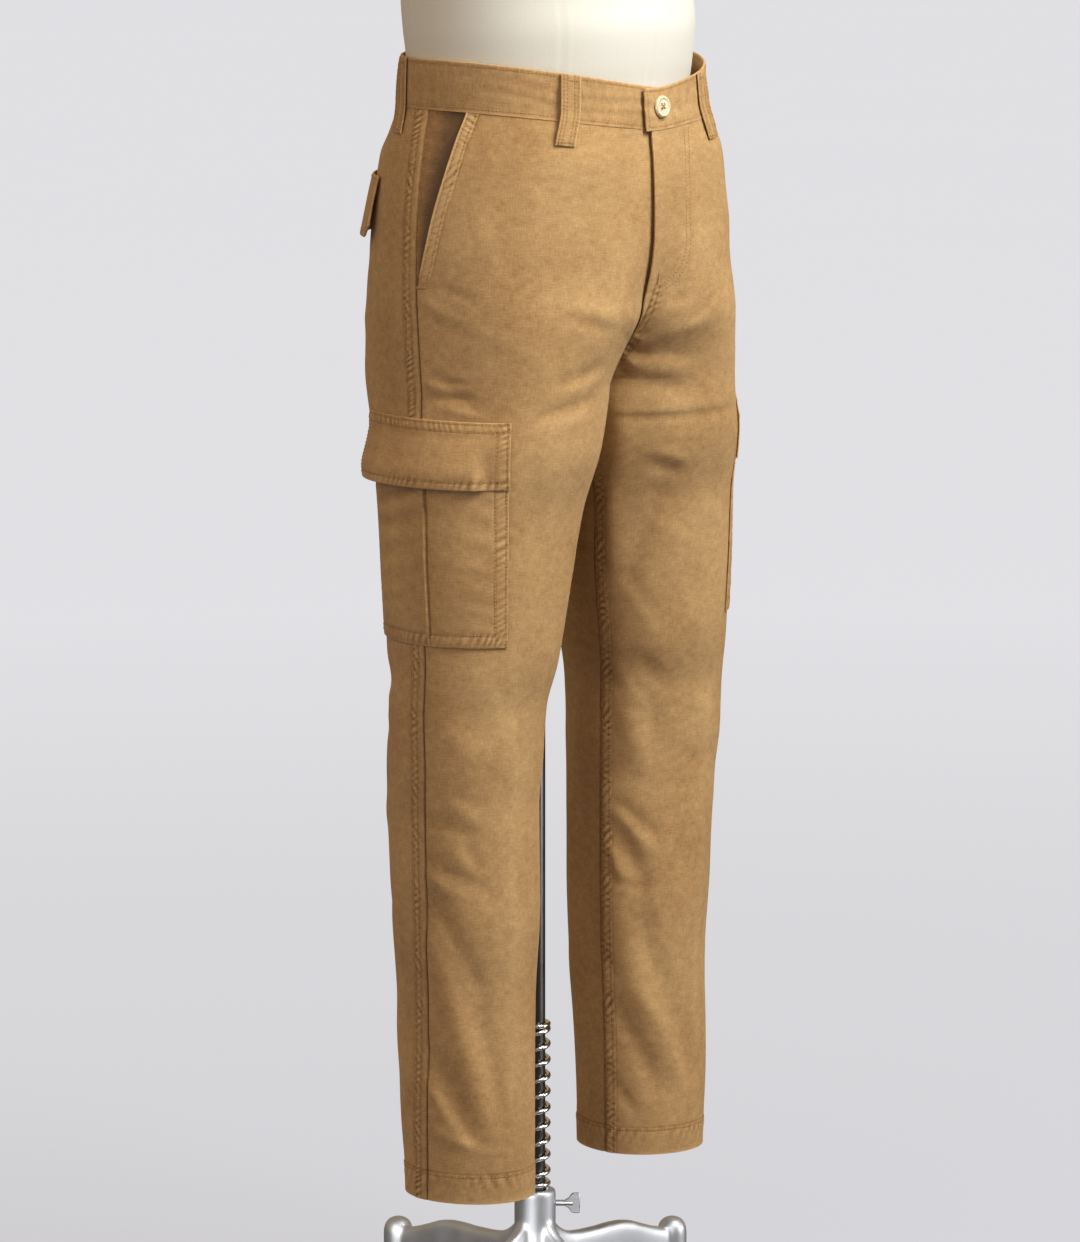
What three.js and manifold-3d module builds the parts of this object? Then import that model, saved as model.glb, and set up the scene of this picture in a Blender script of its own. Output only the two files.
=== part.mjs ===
// Cargo trousers standing on a dress form with a cast four-arm stand.
// Millimetres, +Z up, the wearer faces -Y and the wearer's left is +X.
// The origin is on the floor, on the axis of the stand's rod.
// The cloth is a thin wall worked out from level sections of the garment. A place on it is given by
// its side (+1 the wearer's left, -1 the right), its arc from the side seam (minus towards the front,
// plus towards the back) and its height above the hem, and what lies on it is moved out from there.
import * as THREE from 'three';
import { mergeVertices } from 'three/addons/utils/BufferGeometryUtils.js';
import Module from 'manifold-3d';

const wasm = await Module();
wasm.setup();

// Driving dimensions
const HEM_HEIGHT = 160;        // hems above the floor
const GARMENT_Y = -27;         // the garment's middle plane lies in front of the rod
const GAP = 0.3;               // clearance between sewn or seated pieces
const CLOTH = 1.2;             // one layer of heavy twill
const DOUBLED = 1.5;           // turned and pressed cloth: pockets, flaps and loops
const BAND = 2.4;              // waistband
const FORK = 742;              // crotch point above the hem
const WAIST_SEAM = 993;        // band seam at the side, above the hem
const WAIST_TOP = 1033;        // top of the band at the side
const HEM_DEPTH = 28;
const LEFT_SHORT = 9;          // how much higher the left hem hangs than its level
const RIGHT_SHORT = 3;         // and the right one
const RIGHT_INSET = 6.5;       // how much further out the right leg's inner edge hangs
const FLY_LAP = 14;            // left front over right front
const UNDERLAP = 12;           // right half of the band beneath the left half
const FLY_FOOT = 766;
const SIDE_LOOP = 42;           // side belt loops, behind the side seam
const POCKET_FOOT = 834;       // lower end of the slanted front pocket
const POCKET_SLANT = 41;       // its upper end, forward of the side seam
const ROD_RADIUS = 9.5;
const ROD_FOOT = 4;
const HUB_TOP = 139;
const HUB_RADIUS = 19.3;
const SCREW_HEIGHT = 125;
const SCREW_TURN = THREE.MathUtils.degToRad(-48);
const ARM_REACH = 184;
const ARM_TURN = THREE.MathUtils.degToRad(-3);
const SPRING_TOP = 298;

// Sections of one half of the garment, above the hem: outermost point (xo, yo), foremost point of the
// front (xf, yf), rearmost point of the back (xb, yb) and innermost point (xi, yi).
const SECTIONS = table('z xo yo xf yf xb yb xi yi', [
  [0, 173, 2, 116, -61, 116, 61, 59, -8],
  [93, 178, -2, 118, -62, 118, 66, 58, -8],
  [183, 178.5, -4, 117, -61, 117, 71, 55.5, -7],
  [272, 184, -7, 118, -66, 118, 76, 52, -8],
  [360, 187, -8.5, 121, -65.5, 121, 76.5, 52, -7.5],
  [405, 189.5, -11, 122, -69.5, 122, 76.5, 49, -10],
  [449, 190, -10, 118.5, -73, 118.5, 77.5, 49, -11],
  [493, 190, -12, 114, -80.5, 114, 80, 40, -17],
  [559, 190, -9, 110, -87, 110, 85, 30, -20],
  [626, 188.5, -5, 105.5, -94, 105.5, 95, 22.5, -26],
  [690, 185, -1, 97, -109, 97, 112, 9, -29],
  [742, 178, 3, 93, -112, 89, 130, 0, -30],
  [769, 178, 5, 83, -117.5, 78, 135, 0, -30],
  [813, 178, 8, 60, -128, 60, 141, 0, -30],
  [857, 176, 10, 46, -128, 45, 143, 0, -30],
  [900, 171, 13, 46, -126, 36, 142.5, 0, -30],
  [944, 163, 15, 48, -124, 28, 140, 0, -30],
  [966, 157, 17, 42, -121.5, 20, 131, 0, -30],
  [993, 149, 19, 28, -120, 14, 124, 0, -30],
  [1040, 147.5, 20, 24, -119, 12, 120, 0, -30],
]);
const FRONT_CURVE = 185;       // height of the front crotch curve above the fork
const BACK_CURVE = 150;        // height of the back one

// Sections of the dress form where the cloth leaves it free: half width, its place, front and back.
const FORM_BELOW = table('z a yo yf yb', [
  [785, 66, 15, -40, 74],
  [788, 96, 14, -64, 78],
  [798, 128, 12, -80, 90],
  [816, 148, 10, -95, 108],
  [842, 161, 12, -108, 127],
]);
const FORM_ABOVE = table('z a yo yf yb', [
  [1060, 146, 20, -115, 123],
  [1090, 146, 17, -110, 129],
  [1170, 150, 11, -106, 133],
  [1330, 171, 5, -119, 129],
  [1450, 185, 8, -100, 118],
  [1480, 177, 10, -86, 107],
  [1502, 150, 12, -73, 95],
  [1522, 104, 14, -62, 83],
  [1538, 72, 14, -54, 73],
  [1600, 58, 8, -50, 64],
]);

// Level rows of the cloth above the hem, closer together about the fork and the pockets.
const LEG_ROWS = [0, HEM_DEPTH, 90, 165, 240, 315, 375, 420, 455, 485, 515, 560, 608, 657, 700, 717, 733];
const HIP_ROWS = [FORK, 744, 748, 755, 766, 785, 815, POCKET_FOOT, 865, 900, 931, 962, WAIST_SEAM];
const BAND_ROWS = [WAIST_SEAM, 1006, 1020, WAIST_TOP];
const ROWS = [...LEG_ROWS, ...HIP_ROWS, ...BAND_ROWS.slice(1)];
const SIDE_COLUMNS = [0, 15, 30, 45, 60, 75, 90];
const FRONT_SPREAD = 6;        // columns from there to the strip along the inner edge
const BACK_SPREAD = 7;
const EDGE_STRIP = 8;          // its width

// Broad folds of the cloth, as ridges (plus) and troughs (minus) from one place to another.
const FOLDS = table('side s0 z0 s1 z1 width height', [
  [1, -250, 784, -196, 790, 9, 1.8],
  [1, -258, 773, -196, 761, 8, -1.8],
  [1, -250, 752, -190, 748, 9, 2],
  [1, -234, 737, -186, 731, 8, -1.7],
  [1, -258, 720, -222, 570, 11, 3.5],
  [1, -190, 652, -208, 563, 11, -3.5],
  [1, -184, 482, -150, 456, 10, -2.5],
  [1, -160, 440, -144, 392, 11, -2.8],
  [1, -184, 440, -160, 380, 11, 2.5],
  [1, -178, 315, -150, 262, 10, -3.5],
  [1, -158, 252, -92, 85, 13, -4],
  [1, -165, 235, -120, 100, 16, 2.5],
  [1, -166, 146, -132, 72, 10, -3],
  [1, -120, 470, -60, 420, 20, -1.5],
  [1, -140, 505, -170, 430, 18, 2],
  [1, -80, 350, -130, 120, 24, 2.5],
  [-1, -8, 285, -45, 205, 13, -3.5],
  [-1, -45, 205, -78, 50, 13, -4],
  [-1, -6, 240, -70, 62, 13, 3.5],
  [-1, -4, 145, -52, 52, 12, -3.5],
  [-1, -106, 680, -126, 520, 13, -2],
  [-1, -130, 470, -60, 450, 20, -1.5],
  [1, 60, 470, 140, 430, 20, -4],
  [-1, 60, 480, 150, 440, 20, -4],
  [1, 150, 700, 230, 730, 14, 3],
  [-1, 140, 690, 225, 725, 14, 3],
  [1, -55, 340, -55, 190, 45, -3.5],
  [1, 210, 330, 210, 190, 45, -2.5],
  [-1, 100, 390, 120, 150, 24, 3.5],
]);

const COLOURS = {
  twill: [0xb99a68, 0.95, 0],
  horn: [0xe6d3ac, 0.4, 0],
  jersey: [0xece4d6, 0.9, 0],
  cast: [0xb4b7ba, 0.42, 0.9],
  steel: [0x4c4a47, 0.3, 1],
};

// A table's rows as objects with the named columns.
function table(names, rows) {
  const keys = names.split(' ');
  return rows.map((row) => Object.fromEntries(keys.map((key, i) => [key, row[i]])));
}

function mix(a, b, f) {
  return a + (b - a) * f;
}

// Rises smoothly from 0 to 1 as t goes from 0 to 1.
function ease(t) {
  const u = Math.min(Math.max(t, 0), 1);
  return u * u * (3 - 2 * u);
}

// The slope of column key at row i, the harmonic mean of its neighbours' slopes.
function slope(rows, key, i) {
  if (i === 0 || i === rows.length - 1) return 0;
  const before = (rows[i][key] - rows[i - 1][key]) / (rows[i].z - rows[i - 1].z);
  const after = (rows[i + 1][key] - rows[i][key]) / (rows[i + 1].z - rows[i].z);
  return before * after > 0 ? (2 * before * after) / (before + after) : 0;
}

// A section between the table's rows, by cubic curves that don't overshoot them.
function sectionAt(z) {
  const last = SECTIONS.length - 2;
  const i = Math.min(Math.max(SECTIONS.findIndex((row) => row.z > z) - 1, 0), last);
  const [low, high] = [SECTIONS[i], SECTIONS[i + 1]];
  const span = high.z - low.z;
  const t = (z - low.z) / span;
  const bend = t * (1 - t) * span;
  const section = {};
  for (const key of ['xo', 'yo', 'xf', 'yf', 'xb', 'yb', 'xi', 'yi']) {
    const [m0, m1] = [slope(SECTIONS, key, i), slope(SECTIONS, key, i + 1)];
    section[key] = mix(low[key], high[key], ease(t)) + bend * ((1 - t) * m0 - t * m1);
  }
  return section;
}

// Quarter ellipse that leaves a along Y and reaches b along X.
function quarterOut(a, b, steps) {
  return Array.from({ length: steps + 1 }, (_, i) => {
    const t = (i / steps) * (Math.PI / 2);
    return [b[0] + (a[0] - b[0]) * Math.cos(t), a[1] + (b[1] - a[1]) * Math.sin(t)];
  });
}

// The inner arc of a face: a quarter ellipse that leaves b along X and reaches inner along Y, below
// the fork. Above it the ellipse is cut by the middle plane, ever nearer to b, along the crotch curve,
// and higher still it rounds over to cross that plane level.
function innerArc(b, inner, z, height, steps) {
  const kept = Math.min(Math.max(1 - (z - FORK) / height, 1e-4), 1);
  const endY = inner[1] + (b[1] - inner[1]) * Math.sqrt(1 - kept * kept);
  const rounded = ease((z - FORK - 50) / 50);
  return Array.from({ length: steps + 1 }, (_, i) => {
    const t = (i / steps) * Math.asin(kept);
    const across = Math.sin(t) / kept;
    const y = inner[1] + (b[1] - inner[1]) * Math.cos(t);
    return [b[0] - (b[0] - inner[0]) * across, mix(y, mix(b[1], endY, ease(across)), rounded)];
  });
}

// Least distance from the middle plane, where the cloth passes the stand's rod.
function rodClearance(y, z) {
  const away = Math.abs(y + GARMENT_Y);
  const near = Math.cos((Math.PI / 2) * Math.min(Math.max((away - 14) / 26, 0), 1)) ** 2;
  return (ROD_RADIUS + 3.2) * near * ease((z - 620) / 60);
}

const curves = new Map();

// One face's section at height z, as close points from the side seam inward, with arc lengths.
function faceCurve(face, z) {
  const key = `${face} ${z.toFixed(3)}`;
  if (curves.has(key)) return curves.get(key);
  const s = sectionAt(z);
  const far = face < 0 ? [s.xf, s.yf] : [s.xb, s.yb];
  const height = face < 0 ? FRONT_CURVE : BACK_CURVE;
  const inward = innerArc(far, [s.xi, s.yi], z, height, 40);
  const points = [...quarterOut([s.xo, s.yo], far, 40), ...inward.slice(1)];
  for (const p of points) p[0] = Math.max(p[0], GAP / 2, rodClearance(p[1], z));
  const arcs = [0];
  for (let i = 1; i < points.length; i += 1) {
    const [p, q] = [points[i - 1], points[i]];
    arcs.push(arcs[i - 1] + Math.hypot(q[0] - p[0], q[1] - p[1]));
  }
  const curve = { points, arcs, length: arcs[arcs.length - 1] };
  curves.set(key, curve);
  return curve;
}

// The point of a face's section at arc s, mirrored past the centre line.
function curvePoint(face, z, s) {
  const { points, arcs, length } = faceCurve(face, z);
  const over = s > length;
  const arc = Math.max(over ? 2 * length - s : s, 0);
  const i = Math.min(Math.max(arcs.findIndex((a) => a > arc) - 1, 0), points.length - 2);
  const j = arc >= length ? points.length - 2 : i;
  const f = (arc - arcs[j]) / (arcs[j + 1] - arcs[j] || 1);
  const x = mix(points[j][0], points[j + 1][0], f);
  return [over ? -x : x, mix(points[j][1], points[j + 1][1], f)];
}

// The level outward direction of a face's section at arc s.
function curveNormal(face, z, s) {
  const step = 1.5;
  const { length } = faceCurve(face, z);
  const from = s > length ? s - step : Math.max(s - step, 0);
  const to = s > length ? s + step : Math.min(s + step, length);
  const [a, b] = [curvePoint(face, z, from), curvePoint(face, z, to)];
  const size = Math.hypot(b[0] - a[0], b[1] - a[1]) || 1;
  return [(face * (b[1] - a[1])) / size, (-face * (b[0] - a[0])) / size];
}

// The height of a nominal row above the hem: each hem hangs a little short, the rest is level up to
// the hips, and from there the rows dip to the front.
function rowHeight(side, face, nominal, x, widest) {
  const short = side > 0 ? LEFT_SHORT : RIGHT_SHORT;
  if (nominal <= 90) return nominal + short * (1 - nominal / 90);
  if (nominal <= 900) return nominal;
  const toSide = Math.min(x / widest, 1);
  const seam = face < 0 ? 19 * toSide ** 1.2 - 23 : 4 - 8 * toSide;
  const top = face < 0 ? 26 * toSide ** 1.15 - 25 : 4 - 3 * toSide;
  if (nominal <= WAIST_SEAM) return nominal + seam * ((nominal - 900) / (WAIST_SEAM - 900));
  return nominal + mix(seam, top, (nominal - WAIST_SEAM) / (WAIST_TOP - WAIST_SEAM));
}

// Where the front panel's outer edge lies: the side seam, or the slanted pocket above its foot.
function pocketEdge(face, nominal) {
  if (face > 0) return 0;
  return POCKET_SLANT * Math.max(0, (nominal - POCKET_FOOT) / (WAIST_SEAM - POCKET_FOOT)) ** 0.82;
}

// How far a front reaches past the centre line at a nominal height.
function frontLap(side, nominal) {
  if (side > 0) return FLY_LAP * ease((nominal - FLY_FOOT + 1) / 26);
  return nominal > WAIST_SEAM ? UNDERLAP : 0;
}

// Arcs of the columns of one face at height z. The first stays on the side seam and the second is
// the panel's own edge. They draw together towards the inner edge, and only the last two are lapped.
function columnArcs(face, z, nominal, lap) {
  const start = pocketEdge(face, nominal);
  const { length } = faceCurve(face, z);
  const reach = SIDE_COLUMNS[SIDE_COLUMNS.length - 1];
  const near = SIDE_COLUMNS.map((s) => start + (s * (reach - start)) / reach);
  const spread = face < 0 ? FRONT_SPREAD : BACK_SPREAD;
  const uncut = length + 95 * ease((z - FORK) / 60);
  const far = Array.from({ length: spread }, (_, i) => {
    const along = 1 - (1 - (i + 1) / spread) ** 1.4;
    return reach + (uncut - EDGE_STRIP - reach) * along + (length - uncut) * along * along;
  });
  return [0, ...near, ...far, length + (lap - EDGE_STRIP) / 2, length + lap];
}

// How far the folds lift the cloth at a place. The doubled cloth of the cargo pockets holds it flat.
function relief(side, s, z) {
  let lift = 0;
  for (const fold of FOLDS) {
    if (fold.side !== side) continue;
    const [ds, dz] = [fold.s1 - fold.s0, fold.z1 - fold.z0];
    const along = ((s - fold.s0) * ds + (z - fold.z0) * dz) / (ds * ds + dz * dz);
    const t = Math.min(Math.max(along, 0), 1);
    const away = Math.hypot(s - fold.s0 - t * ds, z - fold.z0 - t * dz) / fold.width;
    lift += fold.height * Math.exp(-away * away) * Math.sqrt(Math.sin(Math.PI * mix(0.08, 0.92, t)));
  }
  const beside = Math.max((Math.abs(s) - 92) / 25, (508 - z) / 25, (z - 724) / 25);
  return lift * ease((z - 20) / 60) * ease(beside);
}

// A row of the cloth's outer surface, with the outward direction at each column.
function clothRow(side, face, nominal, lap) {
  const { xo, xi } = sectionAt(nominal);
  return columnArcs(face, nominal, nominal, lap).map((arc, k) => {
    const [x0] = curvePoint(face, nominal, Math.min(arc, faceCurve(face, nominal).length));
    const z = rowHeight(side, face, nominal, x0, xo);
    const s = columnArcs(face, z, nominal, lap)[k];
    const [x, y] = curvePoint(face, z, s);
    const [nx, ny] = curveNormal(face, z, s);
    const out = new THREE.Vector3(side * nx, ny, 0);
    const inset = side < 0 ? (RIGHT_INSET * ease((660 - z) / 160) * (xo - x)) / (xo - xi) : 0;
    const place = new THREE.Vector3(side * (x + inset), y, z);
    place.addScaledVector(out, relief(side, face * s, z));
    return { s, place, out, toEdge: faceCurve(face, z).length - s };
  });
}

const rowCache = new Map();

function cachedRow(side, face, nominal, lap) {
  const key = [side, face, nominal, lap].join(' ');
  if (!rowCache.has(key)) rowCache.set(key, clothRow(side, face, nominal, lap));
  return rowCache.get(key);
}

// A place on the cloth at signed arc s and nominal height z, moved out by lift. It lies on the same
// triangles as the panels do, and is mirrored past the centre line.
function onCloth(side, s, z, lift) {
  const face = s < 0 ? -1 : 1;
  let i = 1;
  while (i < ROWS.length - 1 && ROWS[i] < z) i += 1;
  const v = (z - ROWS[i - 1]) / (ROWS[i] - ROWS[i - 1]);
  const low = cachedRow(side, face, ROWS[i - 1], 0);
  const high = cachedRow(side, face, ROWS[i], 0);
  const arcs = low.map((column, k) => mix(column.s, high[k].s, v));
  const length = arcs[arcs.length - 1];
  const over = Math.abs(s) > length;
  const arc = over ? 2 * length - Math.abs(s) : Math.abs(s);
  let k = 1;
  while (k < arcs.length - 1 && arcs[k] < arc) k += 1;
  const u = Math.min(Math.max((arc - arcs[k - 1]) / (arcs[k] - arcs[k - 1] || 1), 0), 1);
  const blend = (key) => {
    const [a, b, c, d] = [low[k - 1][key], low[k][key], high[k][key], high[k - 1][key]];
    const [side1, side2] = u > v ? [b.clone().sub(a), c.clone().sub(b)] : [c.clone().sub(d), d.clone().sub(a)];
    return a.clone().addScaledVector(side1, u).addScaledVector(side2, v);
  };
  const place = blend('place').addScaledVector(blend('out').normalize(), lift);
  if (over) place.x *= -1;
  return place;
}

// Mesh from triangles of corner indices, turned so that its faces point out.
function solid(name, points, triangles, finish) {
  let volume = 0;
  for (const [a, b, c] of triangles) {
    volume += points[a].dot(new THREE.Vector3().crossVectors(points[b], points[c]));
  }
  const faces = volume < 0 ? triangles.map(([a, b, c]) => [a, c, b]) : triangles;
  const geometry = new THREE.BufferGeometry();
  const flat = points.flatMap((p) => [p.x, p.y, p.z]);
  geometry.setAttribute('position', new THREE.Float32BufferAttribute(flat, 3));
  geometry.setIndex(faces.flat());
  return named(name, geometry, finish);
}

function named(name, geometry, finish) {
  const [color, roughness, metalness] = COLOURS[finish];
  const mesh = new THREE.Mesh(geometry, new THREE.MeshStandardMaterial({ color, roughness, metalness }));
  mesh.name = name;
  return mesh;
}

// Closed wall between an outer and an inner grid of points. Where crossed says so, a cell is split
// along its other diagonal.
function wall(name, outer, inner, crossed = () => false) {
  const [rows, columns] = [outer.length, outer[0].length];
  const points = [...outer.flat(), ...inner.flat()];
  const at = (layer, i, j) => layer * rows * columns + i * columns + j;
  const triangles = [];
  const quad = (a, b, c, d) => triangles.push([a, b, c], [a, c, d]);
  const cell = (layer, i, j) => {
    const corners = [at(layer, i, j), at(layer, i, j + 1), at(layer, i + 1, j + 1), at(layer, i + 1, j)];
    if (crossed(i, j)) corners.push(corners.shift());
    const [a, b, c, d] = corners;
    if (layer === 0) triangles.push([a, b, c], [a, c, d]);
    else triangles.push([a, c, b], [a, d, c]);
  };
  for (let i = 0; i < rows - 1; i += 1) {
    for (let j = 0; j < columns - 1; j += 1) {
      cell(0, i, j);
      cell(1, i, j);
    }
    quad(at(0, i, 0), at(0, i + 1, 0), at(1, i + 1, 0), at(1, i, 0));
    const j = columns - 1;
    quad(at(0, i, j), at(1, i, j), at(1, i + 1, j), at(0, i + 1, j));
  }
  for (let j = 0; j < columns - 1; j += 1) {
    quad(at(0, 0, j), at(1, 0, j), at(1, 0, j + 1), at(0, 0, j + 1));
    const i = rows - 1;
    quad(at(0, i, j), at(0, i, j + 1), at(1, i, j + 1), at(1, i, j));
  }
  return solid(name, points, triangles, 'twill');
}

// Wall whose grid places give { s, z, low, high }: where it lies on the cloth and its two faces. Its
// cells are split as the panels' cells under them are.
function patch(name, side, grid) {
  const outer = grid.map((row) => row.map(({ s, z, high }) => onCloth(side, s, z, high)));
  const inner = grid.map((row) => row.map(({ s, z, low }) => onCloth(side, s, z, low)));
  const crossed = (i, j) => {
    const [across, up] = [grid[i][j + 1].s - grid[i][j].s, grid[i + 1][j].z - grid[i][j].z];
    return (grid[i][j].s + grid[i][j + 1].s) * across * up < 0;
  };
  return wall(name, outer, inner, crossed);
}

// The left front rises over the right one before it crosses the centre line.
function flyLift(side, face, toEdge, nominal) {
  if (side < 0 || face > 0) return 0;
  const height = 2.9 + 1.8 * ease((4 - toEdge) / 16);
  return height * ease((40 - toEdge) / 26) * ease((nominal - FLY_FOOT + 18) / 36);
}

// The slanted pocket edge stands a little proud of the facing behind it.
function mouthLift(face, edge, arc, nominal) {
  if (face > 0 || nominal <= POCKET_FOOT) return 0;
  const along = (nominal - POCKET_FOOT) / (WAIST_SEAM - POCKET_FOOT);
  return 2.6 * Math.sin(Math.PI * along) * Math.exp(-((arc - edge) / 20));
}

// One of the four leg panels, from the hem to the band seam.
function panel(name, side, face) {
  const rows = [...LEG_ROWS, ...HIP_ROWS];
  const outer = [];
  const inner = [];
  for (const nominal of rows) {
    const edge = pocketEdge(face, nominal);
    const row = cachedRow(side, face, nominal, face < 0 ? frontLap(side, nominal) : 0).slice(1);
    const thick = nominal <= HEM_DEPTH ? 2 * CLOTH - 0.2 : CLOTH;
    const drop = nominal === WAIST_SEAM ? GAP / 2 : 0;
    const place = ({ place: p, out, s, toEdge }, depth) => {
      const lift = flyLift(side, face, toEdge, nominal) + mouthLift(face, edge, s, nominal);
      const moved = p.clone().addScaledVector(out, lift - depth);
      moved.z -= drop;
      if (toEdge > -1) moved.x = side * Math.max(side * moved.x, GAP / 2);
      return moved;
    };
    outer.push(row.map((column) => place(column, 0)));
    inner.push(row.map((column) => place(column, thick)));
  }
  openSeam(outer);
  openSeam(inner);
  return wall(name, outer, inner);
}

// Draws a panel's two long edges in from their seams by half of the seam's gap.
function openSeam(grid) {
  for (const row of grid) {
    const ends = [[row[0], row[1]]];
    if (row[0].z < FORK) ends.push([row[row.length - 1], row[row.length - 2]]);
    for (const [end, next] of ends) {
      const inward = next.clone().sub(end).setZ(0).normalize();
      end.addScaledVector(inward, GAP / 2);
    }
  }
}

// Pocket facing seen between the side seam and the slanted edge, behind both panels.
function pocketFacing(name, side) {
  const rows = [POCKET_FOOT - 15, POCKET_FOOT, 865, 900, 931, 962, WAIST_SEAM - 3];
  const grid = rows.map((z) => {
    const edge = pocketEdge(-1, z);
    const places = [8, 0, -edge / 2 - 2, -edge - 4, -edge - 18];
    return places.map((s) => ({ s, z, low: -(2 * CLOTH + GAP), high: -(CLOTH + GAP) }));
  });
  return patch(name, side, grid);
}

// Half of the waistband, from the centre back round the side to its lap at the front.
function waistband(name, side) {
  const place = (face, nominal, column, depth) => {
    const lift = flyLift(side, face, column.toEdge, nominal);
    const moved = column.place.clone().addScaledVector(column.out, lift + BAND / 4 - depth);
    if (nominal === WAIST_SEAM) moved.z += GAP / 2;
    if (face > 0) moved.x = side * Math.max(side * moved.x, GAP / 2);
    return moved;
  };
  const layer = (depth) => BAND_ROWS.map((nominal) => {
    const back = cachedRow(side, 1, nominal, 0).slice(1).reverse();
    const front = cachedRow(side, -1, nominal, side > 0 ? FLY_LAP : UNDERLAP).slice(2);
    return [
      ...back.map((column) => place(1, nominal, column, depth)),
      ...front.map((column) => place(-1, nominal, column, depth)),
    ];
  });
  return wall(name, layer(0), layer(BAND));
}

// Belt loop: a strip sewn down at the top of the band and below its seam, bowed clear between.
function beltLoop(name, side, s) {
  const [width, top, foot] = [18, WAIST_TOP, WAIST_SEAM - 24];
  const rows = [top, 1028, 1018, 1006, WAIST_SEAM, 980, 972, foot];
  const grid = rows.map((z) => {
    const along = (top - z) / (top - foot);
    const seat = mix(BAND / 4 + GAP + 0.25, GAP + 0.25, along);
    const low = seat + 2.4 * Math.sqrt(Math.sin(Math.PI * Math.min(along, 0.999)));
    return [-width / 2, 0, width / 2].map((across) => ({ s: s + across, z, low, high: low + DOUBLED }));
  });
  return patch(name, side, grid);
}

const CARGO = { half: 88, foot: 515, mouth: 700, flapFoot: 657, flapTop: 717, pleat: -8.5 };

// How far the cargo pocket's inner face stands off the panels, with its pleat closed at both ends.
function cargoStand(s, z) {
  const up = (z - CARGO.foot) / (CARGO.mouth - CARGO.foot);
  const swell = 2.2 * (1 - (s / CARGO.half) ** 2) * Math.sin(Math.PI * up) ** 0.8;
  const pleat = s > CARGO.pleat - 0.3 ? 2 * ease((CARGO.mouth - z) / 40) * ease((z - CARGO.foot) / 30) : 0;
  return { swell, pleat: pleat * Math.exp(-Math.max(s - CARGO.pleat, 0) / 26) };
}

// Front edge of the cargo pocket, which leans back a little on its way down. The flap's follows it.
function cargoFront(z) {
  return -mix(80, 89, (z - CARGO.foot) / (CARGO.mouth - CARGO.foot));
}

// Patch pocket on the thigh, across the side seam, its pleat's rear layer lying over the front one.
function cargoPocket(name, side) {
  const rows = [CARGO.foot, 530, 560, 608, 657, 680, CARGO.mouth];
  const columns = [-88, -75, -60, -45, -30, -15, -9.1, -8.6, 0, 15, 30, 45, 60, 75, 88];
  const grid = rows.map((z) => columns.map((column) => {
    const s = column === -CARGO.half ? cargoFront(z) : column;
    const { swell, pleat } = cargoStand(s, z);
    const low = GAP + 0.1 + Math.max(swell, 0);
    return { s, z, low, high: low + DOUBLED + pleat };
  }));
  return patch(name, side, grid);
}

// Flap over the cargo pocket: sewn down along its top and front edges, free behind and below.
function cargoFlap(name, side) {
  const rows = [CARGO.flapTop, 708, 703, 692, 680, 667, CARGO.flapFoot];
  const columns = [-88, -75, -60, -45, -30, -15, 0, 15, 30, 45, 60, 75, 90];
  const grid = rows.map((z) => columns.map((column) => {
    const s = column === -CARGO.half ? Math.max(cargoFront(z) - 1, -90) : column;
    const down = (703 - z) / 46;
    const seat = z > 703 ? mix(GAP + 0.05, 1, (CARGO.flapTop - z) / 9) : DOUBLED + 2 * GAP + 0.1;
    const clear = 2.6 * ease((703 - z) / 36) * ease((s + 88) / 20);
    const low = seat + clear + 4.5 * ease(down) * ease((s + 60) / 150);
    return { s, z, low, high: low + DOUBLED };
  }));
  return patch(name, side, grid);
}

// Flap of the back pocket with clipped lower corners, sewn along its top and standing off below.
function backFlap(name, side) {
  const [near, far, top, foot] = [66, 200, 928, 872];
  const columns = [near, 75, 90, 106, 124, 144, 164, 186, far];
  const clip = (s) => 11 * Math.max(0, 1 - Math.min(s - near, far - s) / 12);
  const grid = [0, 0.1, 0.35, 0.62, 0.86, 1].map((down) => columns.map((s) => {
    const z = mix(top, foot + clip(s), down);
    const low = GAP + 1.2 + 6 * down ** 0.9;
    return { s, z, low, high: low + DOUBLED };
  }));
  return patch(name, side, grid);
}

// Four-hole button on the lapped end of the band.
function waistButton() {
  const [radius, thick, bevel, hole] = [10, 2.2, 0.7, 1.1];
  const outline = new THREE.Shape().absarc(0, 0, radius - bevel, 0, Math.PI * 2);
  for (const [x, y] of [[-2, -2], [2, -2], [2, 2], [-2, 2]]) {
    outline.holes.push(new THREE.Path().absarc(x, y, hole + bevel / 2, 0, Math.PI * 2));
  }
  const geometry = new THREE.ExtrudeGeometry(outline, {
    depth: thick, bevelSize: bevel, bevelThickness: bevel, bevelSegments: 1, curveSegments: 6,
  });
  const mesh = named('waist_button', geometry, 'horn');
  const surface = BAND / 4 + flyLift(1, -1, 0, WAIST_TOP);
  const arc = cachedRow(1, -1, 1020, 0).at(-1).s;
  const seat = onCloth(1, -arc + 0.01, 1015, surface + bevel + 0.7);
  mesh.position.set(0, seat.y, seat.z);
  mesh.rotation.set(Math.PI / 2, THREE.MathUtils.degToRad(4), 0);
  return mesh;
}

// Ring of the dress form under the cloth, moved in from the cloth's own columns.
function ringUnderCloth(nominal, depth) {
  const half = (side) => {
    const front = cachedRow(side, -1, nominal, 0).slice(2);
    const back = cachedRow(side, 1, nominal, 0).slice(1);
    return [...[...front].reverse(), ...back];
  };
  const left = half(1);
  const right = half(-1).reverse().slice(1, -1);
  return [...left, ...right].map(({ place, out }) => {
    const moved = place.clone().addScaledVector(out, -depth);
    if (Math.abs(moved.x) < 1) moved.x = 0;
    return moved;
  });
}

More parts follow.
